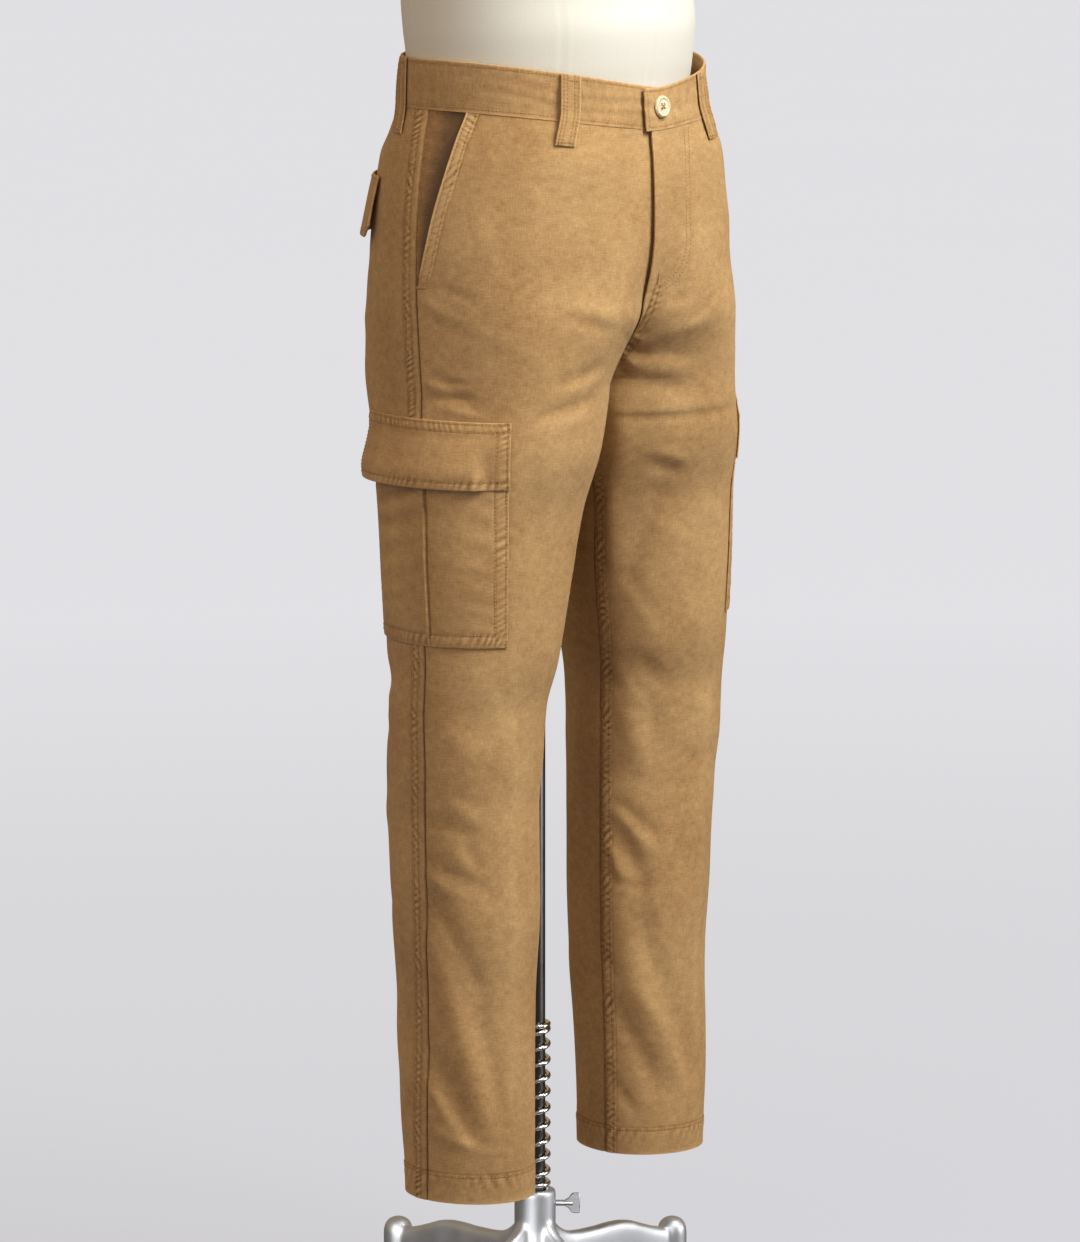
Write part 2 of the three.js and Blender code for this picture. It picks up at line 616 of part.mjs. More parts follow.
// Free ring of the dress form, its columns spread as the cloth's are.
function freeRing({ z, a, yo, yf, yb }) {
  const arc = (face, far) => {
    const arcs = columnArcs(face, WAIST_TOP, 0, 0).slice(face < 0 ? 2 : 1);
    const length = arcs[arcs.length - 1];
    return arcs.map((s) => {
      const t = (s / length) * (Math.PI / 2);
      return new THREE.Vector3(a * Math.cos(t), yo + (far - yo) * Math.sin(t), z);
    });
  };
  const left = [...arc(-1, yf).reverse(), ...arc(1, yb)];
  left[0].x = 0;
  left[left.length - 1].x = 0;
  const right = left.slice(1, -1).reverse().map((p) => new THREE.Vector3(-p.x, p.y, p.z));
  return [...left, ...right];
}

// The dress form: a smooth torso without arms, closed at its underside and at the neck.
function torso() {
  const depths = [[865, 6], [900, 3.9], [931, 3.9], [962, 3.6], [WAIST_SEAM, 3.4], [1006, 2.2], [1020, 2.2],
    [WAIST_TOP, 2.2]];
  const cloth = depths.map(([z, depth]) => ringUnderCloth(z, depth));
  const rings = [...FORM_BELOW.map(freeRing), ...cloth, ...FORM_ABOVE.map(freeRing)];
  return closedRings('form_torso', rings, 'jersey');
}

// Solid through rings of equal counts, closed by a fan at each end.
function closedRings(name, rings, finish) {
  const count = rings[0].length;
  const points = rings.flat();
  const triangles = [];
  for (let i = 0; i < rings.length - 1; i += 1) {
    for (let j = 0; j < count; j += 1) {
      const k = (j + 1) % count;
      const [a, b, c, d] = [i * count + j, i * count + k, (i + 1) * count + k, (i + 1) * count + j];
      triangles.push([a, b, c], [a, c, d]);
    }
  }
  for (const [ring, order] of [[0, 1], [rings.length - 1, -1]]) {
    const centre = points.push(meanOf(rings[ring])) - 1;
    for (let j = 0; j < count; j += 1) {
      const [a, b] = [ring * count + j, ring * count + ((j + 1) % count)];
      triangles.push(order > 0 ? [centre, b, a] : [centre, a, b]);
    }
  }
  return solid(name, points, triangles, finish);
}

function meanOf(points) {
  return points.reduce((sum, p) => sum.add(p), new THREE.Vector3()).divideScalar(points.length);
}

// Plain cap on the neck.
function neckCap() {
  const profile = [[0, 0], [54, 0], [59, 3], [59, 9], [54, 12], [0, 13]];
  const points = profile.map(([r, z]) => new THREE.Vector2(r, z));
  const mesh = named('form_neck_cap', new THREE.LatheGeometry(points, 24), 'horn');
  mesh.rotation.x = Math.PI / 2;
  mesh.scale.set(1, 1, 0.97);
  mesh.position.set(0, 7, 1600 + GAP);
  return mesh;
}

// Lathe about +Z through (radius, height) pairs.
function turned(pairs, segments) {
  const profile = pairs.map(([r, z]) => new THREE.Vector2(r, z));
  return new THREE.LatheGeometry(profile, segments).rotateX(Math.PI / 2);
}

function toManifold(geometry) {
  const bare = geometry.clone();
  bare.deleteAttribute('normal');
  bare.deleteAttribute('uv');
  const merged = mergeVertices(bare, 1e-4);
  return new wasm.Manifold(new wasm.Mesh({
    numProp: 3,
    vertProperties: new Float32Array(merged.attributes.position.array),
    triVerts: new Uint32Array(merged.index.array),
  }));
}

function fromManifold(body) {
  const { vertProperties, triVerts } = body.getMesh();
  const geometry = new THREE.BufferGeometry();
  geometry.setAttribute('position', new THREE.BufferAttribute(vertProperties, 3));
  geometry.setIndex(new THREE.BufferAttribute(triVerts, 1));
  return geometry;
}

// One cast arm's side: a wavy upper edge over an arched lower one, drawn out along X.
function armShape() {
  const shape = new THREE.Shape();
  shape.moveTo(12, 30);
  shape.lineTo(12, 110);
  shape.lineTo(19, 110);
  shape.bezierCurveTo(24, 101, 32, 89, 50, 89.5);
  shape.lineTo(90, 89.3);
  shape.bezierCurveTo(122, 92, 136, 78, 166, 73);
  shape.lineTo(ARM_REACH, 70);
  shape.lineTo(ARM_REACH, 26);
  shape.bezierCurveTo(150, 34, 140, 54, 108, 54);
  shape.bezierCurveTo(70, 54, 50, 36, 12, 30);
  return shape;
}

// Stand casting: hub, four arms and their feet in one piece, bored for the rod and the screw.
function standBase() {
  const hub = [[0, 24], [26, 24], [28, 30], [25, 60], [HUB_RADIUS + 1.5, 84], [HUB_RADIUS, 100],
    [HUB_RADIUS, HUB_TOP - 1.5], [HUB_RADIUS - 1.5, HUB_TOP], [0, HUB_TOP]];
  const knuckle = [[0, 0], [17, 0], [18, 4], [14, 12], [14, 67], [11.5, 75], [6, 79.5], [0, 80.5]];
  const arm = new THREE.ExtrudeGeometry(armShape(), { depth: 14, bevelEnabled: false, curveSegments: 4 });
  arm.translate(0, 0, -7).rotateX(Math.PI / 2);
  const foot = turned(knuckle, 12).translate(ARM_REACH, 0, 0);
  let body = toManifold(turned(hub, 28));
  for (let i = 0; i < 4; i += 1) {
    const turn = ARM_TURN + (i * Math.PI) / 2;
    body = body.add(toManifold(arm.clone().rotateZ(turn)));
    body = body.add(toManifold(foot.clone().rotateZ(turn)));
  }
  const bore = turned([[0, 0], [ROD_RADIUS + 0.4, 0], [ROD_RADIUS + 0.4, 200], [0, 200]], 28);
  const tapped = new THREE.CylinderGeometry(3.3, 3.3, 30, 16).rotateZ(Math.PI / 2);
  tapped.translate(20, 0, SCREW_HEIGHT).rotateZ(SCREW_TURN);
  body = body.subtract(toManifold(bore)).subtract(toManifold(tapped));
  return named('stand_base', fromManifold(body), 'cast');
}

// Wing screw that clamps the rod, lying along the X axis before it is turned into place.
function thumbScrew() {
  const shank = new THREE.CylinderGeometry(2.8, 2.8, 25, 16).rotateZ(Math.PI / 2);
  shank.translate(ROD_RADIUS + 0.5 + 12.5, 0, 0);
  const wing = new THREE.Shape();
  wing.moveTo(29, -3);
  wing.bezierCurveTo(33, -3.4, 33, -8.8, 36, -8.8);
  wing.lineTo(40.5, -8.8);
  wing.bezierCurveTo(41.5, -4, 41.5, 4, 40.5, 8.8);
  wing.lineTo(36, 8.8);
  wing.bezierCurveTo(33, 8.8, 33, 3.4, 29, 3);
  wing.closePath();
  const plate = new THREE.ExtrudeGeometry(wing, {
    depth: 2.2, bevelSize: 0.7, bevelThickness: 0.7, bevelSegments: 1, curveSegments: 5,
  });
  plate.translate(0, 0, -1.1).rotateX(Math.PI / 2);
  const mesh = named('thumb_screw', fromManifold(toManifold(shank).add(toManifold(plate))), 'cast');
  mesh.rotation.z = SCREW_TURN;
  mesh.position.z = SCREW_HEIGHT;
  return mesh;
}

function standRod() {
  const height = HEM_HEIGHT + FORM_BELOW[0].z - GAP - ROD_FOOT;
  const mesh = named('stand_rod', new THREE.CylinderGeometry(ROD_RADIUS, ROD_RADIUS, height, 24), 'steel');
  mesh.rotation.x = Math.PI / 2;
  mesh.position.z = ROD_FOOT + height / 2;
  return mesh;
}

// Open coil spring round the rod, standing on the hub, with a closed turn at each end.
class Coil extends THREE.Curve {
  constructor(radius, foot, top, turns) {
    super();
    Object.assign(this, { radius, foot, top, turns });
  }

  getPoint(t, target = new THREE.Vector3()) {
    const angle = t * this.turns * Math.PI * 2;
    const end = 0.8 / this.turns;
    const open = Math.min(Math.max((t - end) / (1 - 2 * end), 0), 1);
    const z = mix(this.foot, this.top, open * 0.9 + t * 0.1);
    return target.set(this.radius * Math.cos(angle), this.radius * Math.sin(angle), z);
  }
}

function standSpring() {
  const wire = 2.3;
  const section = new THREE.Shape();
  const sides = 5;
  for (let i = 0; i < sides; i += 1) {
    const turn = (i / sides) * Math.PI * 2;
    const [x, y] = [wire * Math.cos(turn), wire * Math.sin(turn)];
    if (i === 0) section.moveTo(x, y);
    else section.lineTo(x, y);
  }
  const coil = new Coil(ROD_RADIUS + wire + 0.5, HUB_TOP + wire + GAP, SPRING_TOP - wire, 12);
  const geometry = new THREE.ExtrudeGeometry(section, { extrudePath: coil, steps: 120 });
  return named('stand_spring', geometry, 'steel');
}

// The garment and the form share one group, set over the stand at the hem's height.
function wornGroup() {
  const group = new THREE.Group();
  group.position.set(0, GARMENT_Y, HEM_HEIGHT);
  const frontArc = cachedRow(1, -1, WAIST_SEAM, 0).at(-1).s;
  const backArc = cachedRow(1, 1, WAIST_SEAM, 0).at(-1).s;
  for (const [side, hand] of [[-1, 'right'], [1, 'left']]) {
    group.add(panel(`front_${hand}`, side, -1));
    group.add(panel(`back_${hand}`, side, 1));
    group.add(pocketFacing(`pocket_facing_${hand}`, side));
    group.add(waistband(`waistband_${hand}`, side));
    group.add(cargoPocket(`cargo_pocket_${hand}`, side));
    group.add(cargoFlap(`cargo_flap_${hand}`, side));
    group.add(backFlap(`back_flap_${hand}`, side));
    group.add(beltLoop(`belt_loop_front_${hand}`, side, 91 - side * FLY_LAP - frontArc));
    group.add(beltLoop(`belt_loop_side_${hand}`, side, SIDE_LOOP));
  }
  group.add(beltLoop('belt_loop_back', 1, backArc));
  group.add(waistButton(), torso(), neckCap());
  return group;
}

const group = new THREE.Group();
group.add(wornGroup());
group.add(standRod(), standSpring(), standBase(), thumbScrew());

export default group;
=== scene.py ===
# Cargo trousers on a dress form and its cast stand, as finished cloth, jersey and metal around the
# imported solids. Lengths are in millimetres until a mesh is made. A place on the cloth is given as in
# the part's source: side (+1 the wearer's left, -1 the right), arc from the side seam (minus towards
# the front, plus towards the back) and height above the hem.
import math

import bpy
import numpy as np
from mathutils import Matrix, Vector


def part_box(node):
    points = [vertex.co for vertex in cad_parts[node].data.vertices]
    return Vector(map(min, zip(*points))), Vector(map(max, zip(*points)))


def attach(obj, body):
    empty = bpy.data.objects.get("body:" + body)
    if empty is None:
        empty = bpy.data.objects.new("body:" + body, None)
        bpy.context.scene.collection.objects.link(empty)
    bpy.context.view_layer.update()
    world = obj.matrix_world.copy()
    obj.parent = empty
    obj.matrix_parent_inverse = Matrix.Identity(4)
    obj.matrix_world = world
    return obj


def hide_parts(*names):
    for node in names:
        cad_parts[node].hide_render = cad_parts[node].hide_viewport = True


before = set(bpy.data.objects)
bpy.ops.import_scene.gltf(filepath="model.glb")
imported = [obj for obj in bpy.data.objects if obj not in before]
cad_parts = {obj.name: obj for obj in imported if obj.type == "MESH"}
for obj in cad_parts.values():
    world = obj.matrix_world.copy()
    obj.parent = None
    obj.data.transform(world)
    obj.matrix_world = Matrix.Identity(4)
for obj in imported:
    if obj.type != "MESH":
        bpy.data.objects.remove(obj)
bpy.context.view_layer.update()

MM = 0.001
HEM_HEIGHT, GARMENT_Y, GAP = 160, -27, 0.3

# ---------------------------------------------------------------- stand: casting, rod, spring, screw
# The stand's hub, four arms and domed feet are one satin aluminium casting. A dark steel rod slides
# in the hub with a bright coil spring round it, and a cast wing screw clamps the rod.


def linear(red, green, blue):
    """Scene colour of an 0 to 255 display colour: the display curve undone."""
    share = np.array([red, green, blue]) / 255
    return tuple(np.where(share < 0.04045, share / 12.92, ((share + 0.055) / 1.055) ** 2.4)) + (1.0,)


def mixed(low, high, share):
    """Straight mix from low to high."""
    return low + (high - low) * share


def bell(away, width):
    """Bell curve: 1 where away is 0, and the exponential of -1 a width from there."""
    return np.exp(-((away / width) ** 2))


def ease(t):
    """Rises smoothly from 0 to 1 as t goes from 0 to 1: three squares of t less two cubes."""
    t = np.clip(t, 0, 1)
    return t * t * (3 - 2 * t)


def make_piece(name, points, faces, material, body, uv=None, sharp=40, wear_and_shade=None):
    """Mesh object from points in millimetres and four-sided faces, riding on a body of the frame."""
    mesh = bpy.data.meshes.new(name)
    mesh.from_pydata((points * MM).tolist(), [], faces.tolist())
    mesh.polygons.foreach_set("use_smooth", np.ones(len(mesh.polygons), bool))
    corners = np.empty(len(mesh.loops), np.int32)
    mesh.loops.foreach_get("vertex_index", corners)
    if uv is not None:
        layer = mesh.uv_layers.new(name="cut")
        layer.data.foreach_set("uv", (uv[corners] * MM).astype(np.float32).ravel())
    if wear_and_shade is not None:
        mesh.attributes.new("wear_and_shade", "FLOAT", "POINT").data.foreach_set("value", wear_and_shade.astype(np.float32))
    mesh.update()
    mesh.set_sharp_from_angle(angle=math.radians(sharp))
    mesh.materials.append(material)
    piece = bpy.data.objects.new(name, mesh)
    bpy.context.scene.collection.objects.link(piece)
    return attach(piece, body)


def ring_faces(rows, columns, closed_rows=False):
    """Faces of a grid whose last column joins its first, and, if asked, its last row its first."""
    index = np.arange(rows * columns).reshape(rows, columns)
    index = np.hstack([index, index[:, :1]])
    if closed_rows:
        index = np.vstack([index, index[:1]])
    cells = [index[:-1, :-1], index[:-1, 1:], index[1:, 1:], index[1:, :-1]]
    return np.stack(cells, -1).reshape(-1, 4)


def turned(profile, sides=64, closed=False):
    """Points and faces of a profile of (radius, height) pairs turned about Z.

    Point (i, j) is (r_i cos a_j, r_i sin a_j, z_i). A profile that isn't closed starts and ends on
    the axis, where its ring has next to no radius.
    """
    profile = np.maximum(np.array(profile, float), [[0.01, -1e9]])
    turn = np.arange(sides) * 2 * np.pi / sides
    radius, height = profile[:, :1], profile[:, 1:]
    grid = np.stack(np.broadcast_arrays(radius * np.cos(turn), radius * np.sin(turn), height), -1)
    return grid.reshape(-1, 3), ring_faces(len(profile), sides, closed)


def joined(parts):
    """Points and faces of several meshes as one."""
    starts = np.cumsum([0] + [len(points) for points, _ in parts[:-1]])
    faces = np.vstack([face + start for (_, face), start in zip(parts, starts)])
    return np.vstack([points for points, _ in parts]), faces


def settings(node, values):
    """Sets a node's inputs by name, with an underscore for each space in a name."""
    for key, value in values.items():
        node.inputs[key.replace("_", " ")].default_value = value
    return node


def surface(name, **values):
    """New material, its node tree, and its shader with these values."""
    material = bpy.data.materials.new(name)
    material.use_nodes = True
    return material, material.node_tree, settings(material.node_tree.nodes["Principled BSDF"], values)


def added(tree, kind, **values):
    """New shader node of a kind, with these values."""
    return settings(tree.nodes.new("ShaderNode" + kind), values)


def stretched(tree, vector, scale):
    """A vector socket's values, drawn out along each axis."""
    mapping = added(tree, "Mapping", Scale=scale)
    tree.links.new(vector, mapping.inputs["Vector"])
    return mapping.outputs["Vector"]


def noise_on(tree, vector, scale, detail=2):
    """Noise over a vector socket's values."""
    noise = added(tree, "TexNoise", Scale=scale, Detail=detail)
    tree.links.new(vector, noise.inputs["Vector"])
    return noise.outputs["Fac"]


def colour_mix(tree, low, high, factor, result):
    """Mixes two colours by a factor socket into a result socket."""
    tint = tree.nodes.new("ShaderNodeMix")
    tint.data_type = "RGBA"
    tint.inputs["A"].default_value = low
    tint.inputs["B"].default_value = high
    tree.links.new(factor, tint.inputs["Factor"])
    tree.links.new(tint.outputs["Result"], result)


def bumped(tree, shader, height, distance, strength):
    """Bump from a height socket into the shader's normal, its distance in millimetres."""
    bump = added(tree, "Bump", Distance=distance * MM, Strength=strength)
    tree.links.new(height, bump.inputs["Height"])
    tree.links.new(bump.outputs["Normal"], shader.inputs["Normal"])


def metal(name, colour, roughness, grain, depth):
    """Metal with fine pits and faint clouding: noise on Object coordinates into colour, roughness, bump."""
    material, tree, shader = surface(name, Metallic=1)
    place = added(tree, "TexCoord").outputs["Object"]
    clouds, pits = noise_on(tree, place, 38, 4), noise_on(tree, place, grain, 3)
    clouded = tuple(0.82 * c for c in colour[:3]) + (1,)
    colour_mix(tree, clouded, colour, clouds, shader.inputs["Base Color"])
    rough = added(tree, "MapRange", To_Min=roughness - 0.08, To_Max=roughness + 0.1)
    tree.links.new(clouds, rough.inputs["Value"])
    tree.links.new(rough.outputs["Result"], shader.inputs["Roughness"])
    bumped(tree, shader, pits, depth, 0.6)
    return material


ROD_RADIUS, HUB_TOP, HUB_RADIUS, ARM_REACH = 9.5, 139, 19.3, 184
ARM_TURN = math.radians(-3)
SPRING_TOP = 298

# Crest, underside and half thickness of one cast arm along its reach.
ARM = np.array([
    (8, 112, 30, 8.4), (19, 110, 31, 8.2), (23, 104, 33, 7.9), (29, 98.5, 36, 7.5), (36, 94, 39, 7.3),
    (44, 91, 42, 7.1), (58, 89.5, 47, 7), (80, 89.3, 52, 7), (98, 89.8, 54, 7), (112, 89.5, 53.5, 7),
    (126, 87, 50, 7), (141, 81.5, 44, 7), (155, 76.5, 38, 7.3), (168, 73, 33, 8), (184, 70, 26, 9),
], float).T


def cast_arm(turn):
    """One arm: rounded rectangles, 4th power ellipses, standing across the reach, lofted along it."""
    reach = np.linspace(ARM[0, 0], ARM[0, -1], 60)
    top, under, half = (np.interp(reach, ARM[0], row)[:, None] for row in ARM[1:])
    angle = np.arange(24) * 2 * np.pi / 24
    wide = np.sign(np.cos(angle)) * np.abs(np.cos(angle)) ** 0.5
    high = np.sign(np.sin(angle)) * np.abs(np.sin(angle)) ** 0.5
    across = half * wide
    up = (top + under) / 2 + (top - under) / 2 * high
    x = reach[:, None] * math.cos(turn) - across * math.sin(turn)
    y = reach[:, None] * math.sin(turn) + across * math.cos(turn)
    grid = np.stack([x, y, up], -1)
    grid = np.concatenate([grid[:1].mean(1, keepdims=True).repeat(24, 1), grid,
                           grid[-1:].mean(1, keepdims=True).repeat(24, 1)])
    return grid.reshape(-1, 3), ring_faces(62, 24)[:, ::-1]


def foot_post(turn):
    """Domed post at the end of an arm, on a round pad."""
    profile = [(0, 0), (16.5, 0), (18, 1.5), (18, 4), (15.6, 8), (14, 13), (13.8, 40), (14, 66),
               (13.5, 70.5), (12, 74.6), (9.3, 77.8), (5.6, 79.8), (2.6, 80.4), (0, 80.5)]
    points, faces = turned(profile, 40)
    return points + [ARM_REACH * math.cos(turn), ARM_REACH * math.sin(turn), 0], faces


hub_profile = [(10.6, 24), (26, 24), (28, 28), (27, 38), (25, 60), (21.4, 80), (HUB_RADIUS, 100),
               (HUB_RADIUS, HUB_TOP - 2), (HUB_RADIUS - 0.6, HUB_TOP - 0.6), (HUB_RADIUS - 2, HUB_TOP),
               (10.6, HUB_TOP)]
quarter_turns = [ARM_TURN + k * math.pi / 2 for k in range(4)]
casting_points, casting_faces = joined([turned(hub_profile, 64, closed=True)]
                                       + [cast_arm(turn) for turn in quarter_turns]
                                       + [foot_post(turn) for turn in quarter_turns])
satin_cast = metal("satin_casting", linear(184, 187, 192), 0.46, 900, 0.12)
casting = make_piece("casting", casting_points, casting_faces, satin_cast, "base")
flow = casting.modifiers.new("one_casting", "REMESH")
flow.mode, flow.voxel_size, flow.use_smooth_shade = "VOXEL", 1.9 * MM, True
fillets = casting.modifiers.new("cast_fillets", "SMOOTH")
fillets.factor, fillets.iterations = 0.5, 10
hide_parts("stand_base")

rod_low, rod_high = (corner.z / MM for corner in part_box("stand_rod"))
rod_profile = [(0, rod_low), (ROD_RADIUS - 0.6, rod_low), (ROD_RADIUS, rod_low + 0.6),
               (ROD_RADIUS, rod_high - 0.4), (ROD_RADIUS - 0.4, rod_high), (0, rod_high)]
rod = make_piece("rod", *turned(rod_profile, 48), metal("dark_steel", linear(84, 81, 79), 0.3, 420, 0.05),
                 "rod", sharp=30)
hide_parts("stand_rod")


def coil(radius, wire, foot, top, turns):
    """Spring wire: a circle of the wire's radius carried along a helix whose end turns lie close.

    The rise is the integral of a pace that is small over the first and last turn.
    """
    along = np.linspace(0, 1, int(turns * 48))
    pace = 0.28 + ease(along * turns - 0.6) * ease((1 - along) * turns - 0.6)
    rise = np.concatenate([[0], np.cumsum((pace[1:] + pace[:-1]) / 2)])
    height = mixed(foot + wire, top - wire, rise / rise[-1])
    turn = along * turns * 2 * np.pi
    out = np.stack([np.cos(turn), np.sin(turn), np.zeros_like(turn)], -1)
    centre = out * radius + height[:, None] * [0, 0, 1]
    ring = np.arange(12) * 2 * np.pi / 12
    grid = (centre[:, None] + wire * np.cos(ring)[:, None] * out[:, None]
            + wire * np.sin(ring)[:, None] * np.array([0, 0, 1.0]))
    ends = [centre[:1, None].repeat(12, 1), centre[-1:, None].repeat(12, 1)]
    grid = np.concatenate([ends[0], grid, ends[1]])
    return grid.reshape(-1, 3), ring_faces(len(grid), 12)[:, ::-1]


spring = make_piece("spring", *coil(ROD_RADIUS + 2.8, 2.3, HUB_TOP + GAP, SPRING_TOP, 12),
                    metal("bright_spring", linear(214, 214, 212), 0.16, 300, 0.03), "base")
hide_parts("stand_spring")

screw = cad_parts["thumb_screw"]
screw.data.materials.clear()
screw.data.materials.append(metal("satin_screw", linear(170, 172, 176), 0.38, 700, 0.1))
softened = screw.modifiers.new("worn_edges", "BEVEL")
softened.width, softened.segments, softened.limit_method = 0.35 * MM, 2, "ANGLE"

# ---------------------------------------------------------------- dress form: torso and neck cap
# The torso is papier mache under a tight cream jersey, sewn in long vertical seams, and its neck
# is closed by a turned wooden cap. It is smooth and whole, and the waistband holds round it.


def columns(names, rows):
    """A table's columns as arrays, by name."""
    return dict(zip(names.split(), np.array(rows, float).T))


def along(table, key, z):
    """Height curve through a table's column that never overshoots it.

    Between two rows it is a cubic whose slope at each row is the harmonic mean of the slopes on
    both sides of it, or level where they point opposite ways or the table ends.
    """
    knots, values = table["z"], table[key]
    step = np.diff(values) / np.diff(knots)
    slope = np.zeros_like(values)
    before, after = step[:-1], step[1:]
    same = before * after > 0
    slope[1:-1][same] = 2 * before[same] * after[same] / (before + after)[same]
    i = np.clip(np.searchsorted(knots, z, side="right") - 1, 0, len(knots) - 2)
    span = knots[i + 1] - knots[i]
    t = (z - knots[i]) / span
    bend = t * (1 - t) * span * ((1 - t) * slope[i] - t * slope[i + 1])
    return mixed(values[i], values[i + 1], ease(t)) + bend


FORM = columns("z a yo yf yb", [
    (785, 60, 15, -36, 70), (788, 96, 14, -64, 78), (798, 126, 12, -80, 92), (816, 144, 10, -97, 108),
    (842, 155, 12, -108, 122), (900, 158, 14, -110, 128), (960, 148, 18, -106, 118),
    (1006, 144, 20, -108, 118), (1030, 144.5, 20, -112, 118), (1060, 146, 20, -115, 123),
    (1090, 146, 17, -110, 129), (1170, 150, 11, -106, 133), (1330, 171, 5, -119, 129),
    (1450, 185, 8, -100, 118), (1480, 177, 10, -86, 107), (1502, 150, 12, -73, 95),
    (1522, 104, 14, -62, 83), (1538, 72, 14, -54, 73), (1600, 58, 8, -50, 64),
])
FORM_SEAMS = (-90, -54, 54, 90, 128, 173, -128)
FORM_ROWS, FORM_COLUMNS, FORM_RADIUS = 150, 240, 150


def form_surface():
    """Level half ellipses, in front and behind, of the table's half width and depths.

    A seam is a narrow furrow with a low ridge on each side, at the same turn at every height.
    """
    z = np.linspace(FORM["z"][0], FORM["z"][-1], FORM_ROWS)[:, None]
    turn = np.arange(FORM_COLUMNS) * 2 * np.pi / FORM_COLUMNS
    half, middle, front, back = (along(FORM, key, z) for key in ("a", "yo", "yf", "yb"))
    far = np.where(np.sin(turn) < 0, middle - front, back - middle)
    dip = np.zeros((FORM_ROWS, FORM_COLUMNS))
    for seam in FORM_SEAMS:
        away = np.angle(np.exp(1j * (turn - math.radians(seam)))) * FORM_RADIUS
        dip += -0.8 * bell(away, 1.6) + 0.35 * bell(np.abs(away) - 4.5, 2)
    x = (half + dip) * np.cos(turn)
    y = middle + (far + dip) * np.sin(turn)
    grid = np.stack(np.broadcast_arrays(x, y + GARMENT_Y, z + HEM_HEIGHT), -1)
    ends = [grid[:1].mean(1, keepdims=True).repeat(FORM_COLUMNS, 1),
            grid[-1:].mean(1, keepdims=True).repeat(FORM_COLUMNS, 1)]
    return np.concatenate([ends[0], grid, ends[1]]).reshape(-1, 3)


def jersey():
    """Matt cream knit: fine stitches as noise on Object coordinates, drawn out upwards, with soft dust."""
    material, tree, shader = surface("cream_jersey", Roughness=0.85, Sheen_Weight=0.15)
    place = added(tree, "TexCoord").outputs["Object"]
    knit, dust = noise_on(tree, stretched(tree, place, (1, 1, 0.45)), 900), noise_on(tree, place, 9, 5)
    colour_mix(tree, linear(219, 214, 200), linear(226, 222, 210), dust, shader.inputs["Base Color"])
    bumped(tree, shader, knit, 0.25, 0.5)
    return material


form = make_piece("dress_form", form_surface(), ring_faces(FORM_ROWS + 2, FORM_COLUMNS), jersey(), "form")
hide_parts("form_torso")


def turned_wood():
    """Pale varnished wood: rings from a wave texture on Object coordinates."""
    material, tree, shader = surface("turned_wood", Roughness=0.32, Coat_Weight=0.3)
    rings = added(tree, "TexWave", Scale=28, Distortion=5, Detail=3)
    tree.links.new(added(tree, "TexCoord").outputs["Object"], rings.inputs["Vector"])
    pale, deep = linear(214, 180, 131), linear(196, 158, 108)
    colour_mix(tree, deep, pale, rings.outputs["Fac"], shader.inputs["Base Color"])
    return material


cap_low, cap_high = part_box("form_neck_cap")
cap_radius, cap_foot = (cap_high.x - cap_low.x) / 2 / MM, cap_low.z / MM
cap_profile = [(0, 0), (54, 0), (57.5, 1), (cap_radius, 3.5), (cap_radius, 8), (57, 10.4), (52, 12),
               (30, 12.8), (0, 13)]
cap_points, cap_faces = turned(cap_profile, 72)
cap_points = cap_points * [1, 0.97, 1] + [0, (cap_low.y + cap_high.y) / 2 / MM, cap_foot]
neck_cap = make_piece("neck_cap", cap_points, cap_faces, turned_wood(), "form")
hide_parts("form_neck_cap")

# ---------------------------------------------------------------- trousers: the four leg panels
# Two fronts and two backs of heavy cotton twill, joined in felled side seams and inseams and in the
# crotch seam. The hems are turned up and stitched, and the waistband takes the upper edges.

FORK, WAIST_SEAM, WAIST_TOP, HEM_DEPTH = 742, 993, 1033, 28
FLY_LAP, UNDERLAP, FLY_FOOT = 14, 12, 766
POCKET_FOOT, POCKET_SLANT = 834, 41
CLOTH, DOUBLED, BAND = 1.2, 1.5, 2.4
BAND_ROWS = WAIST_SEAM + 3.6, WAIST_TOP - 3.2
FRONT_CURVE, BACK_CURVE = 185, 150
LEFT_SHORT, RIGHT_SHORT, RIGHT_INSET = 9, 3, 6.5

SECTIONS = columns("z xo yo xf yf xb yb xi yi", [
    (0, 173, 2, 116, -61, 116, 61, 59, -8), (93, 178, -2, 118, -62, 118, 66, 58, -8),
    (183, 178.5, -4, 117, -61, 117, 71, 55.5, -7), (272, 184, -7, 118, -66, 118, 76, 52, -8),
    (360, 187, -8.5, 121, -65.5, 121, 76.5, 52, -7.5), (405, 189.5, -11, 122, -69.5, 122, 76.5, 49, -10),
    (449, 190, -10, 118.5, -73, 118.5, 77.5, 49, -11), (493, 190, -12, 114, -80.5, 114, 80, 40, -17),
    (559, 190, -9, 110, -87, 110, 85, 30, -20), (626, 188.5, -5, 105.5, -94, 105.5, 95, 22.5, -26),
    (690, 185, -1, 97, -109, 97, 112, 9, -29), (742, 178, 3, 93, -112, 89, 130, 0, -30),
    (769, 178, 5, 83, -117.5, 78, 135, 0, -30), (813, 178, 8, 60, -128, 60, 141, 0, -30),
    (857, 176, 10, 46, -128, 45, 143, 0, -30), (900, 171, 13, 46, -126, 36, 142.5, 0, -30),
    (944, 163, 15, 48, -124, 28, 140, 0, -30), (966, 157, 17, 42, -121.5, 20, 131, 0, -30),
    (993, 149, 19, 28, -120, 14, 124, 0, -30), (1040, 147.5, 20, 24, -119, 12, 120, 0, -30),
])


def rod_clearance(y, z):
    """Least distance from the middle plane, where the cloth passes the rod: a cosine bump about it."""
    near = np.cos(np.pi / 2 * np.clip((np.abs(y + GARMENT_Y) - 14) / 26, 0, 1)) ** 2
    return (ROD_RADIUS + 3.2) * near * ease((z - 620) / 60)


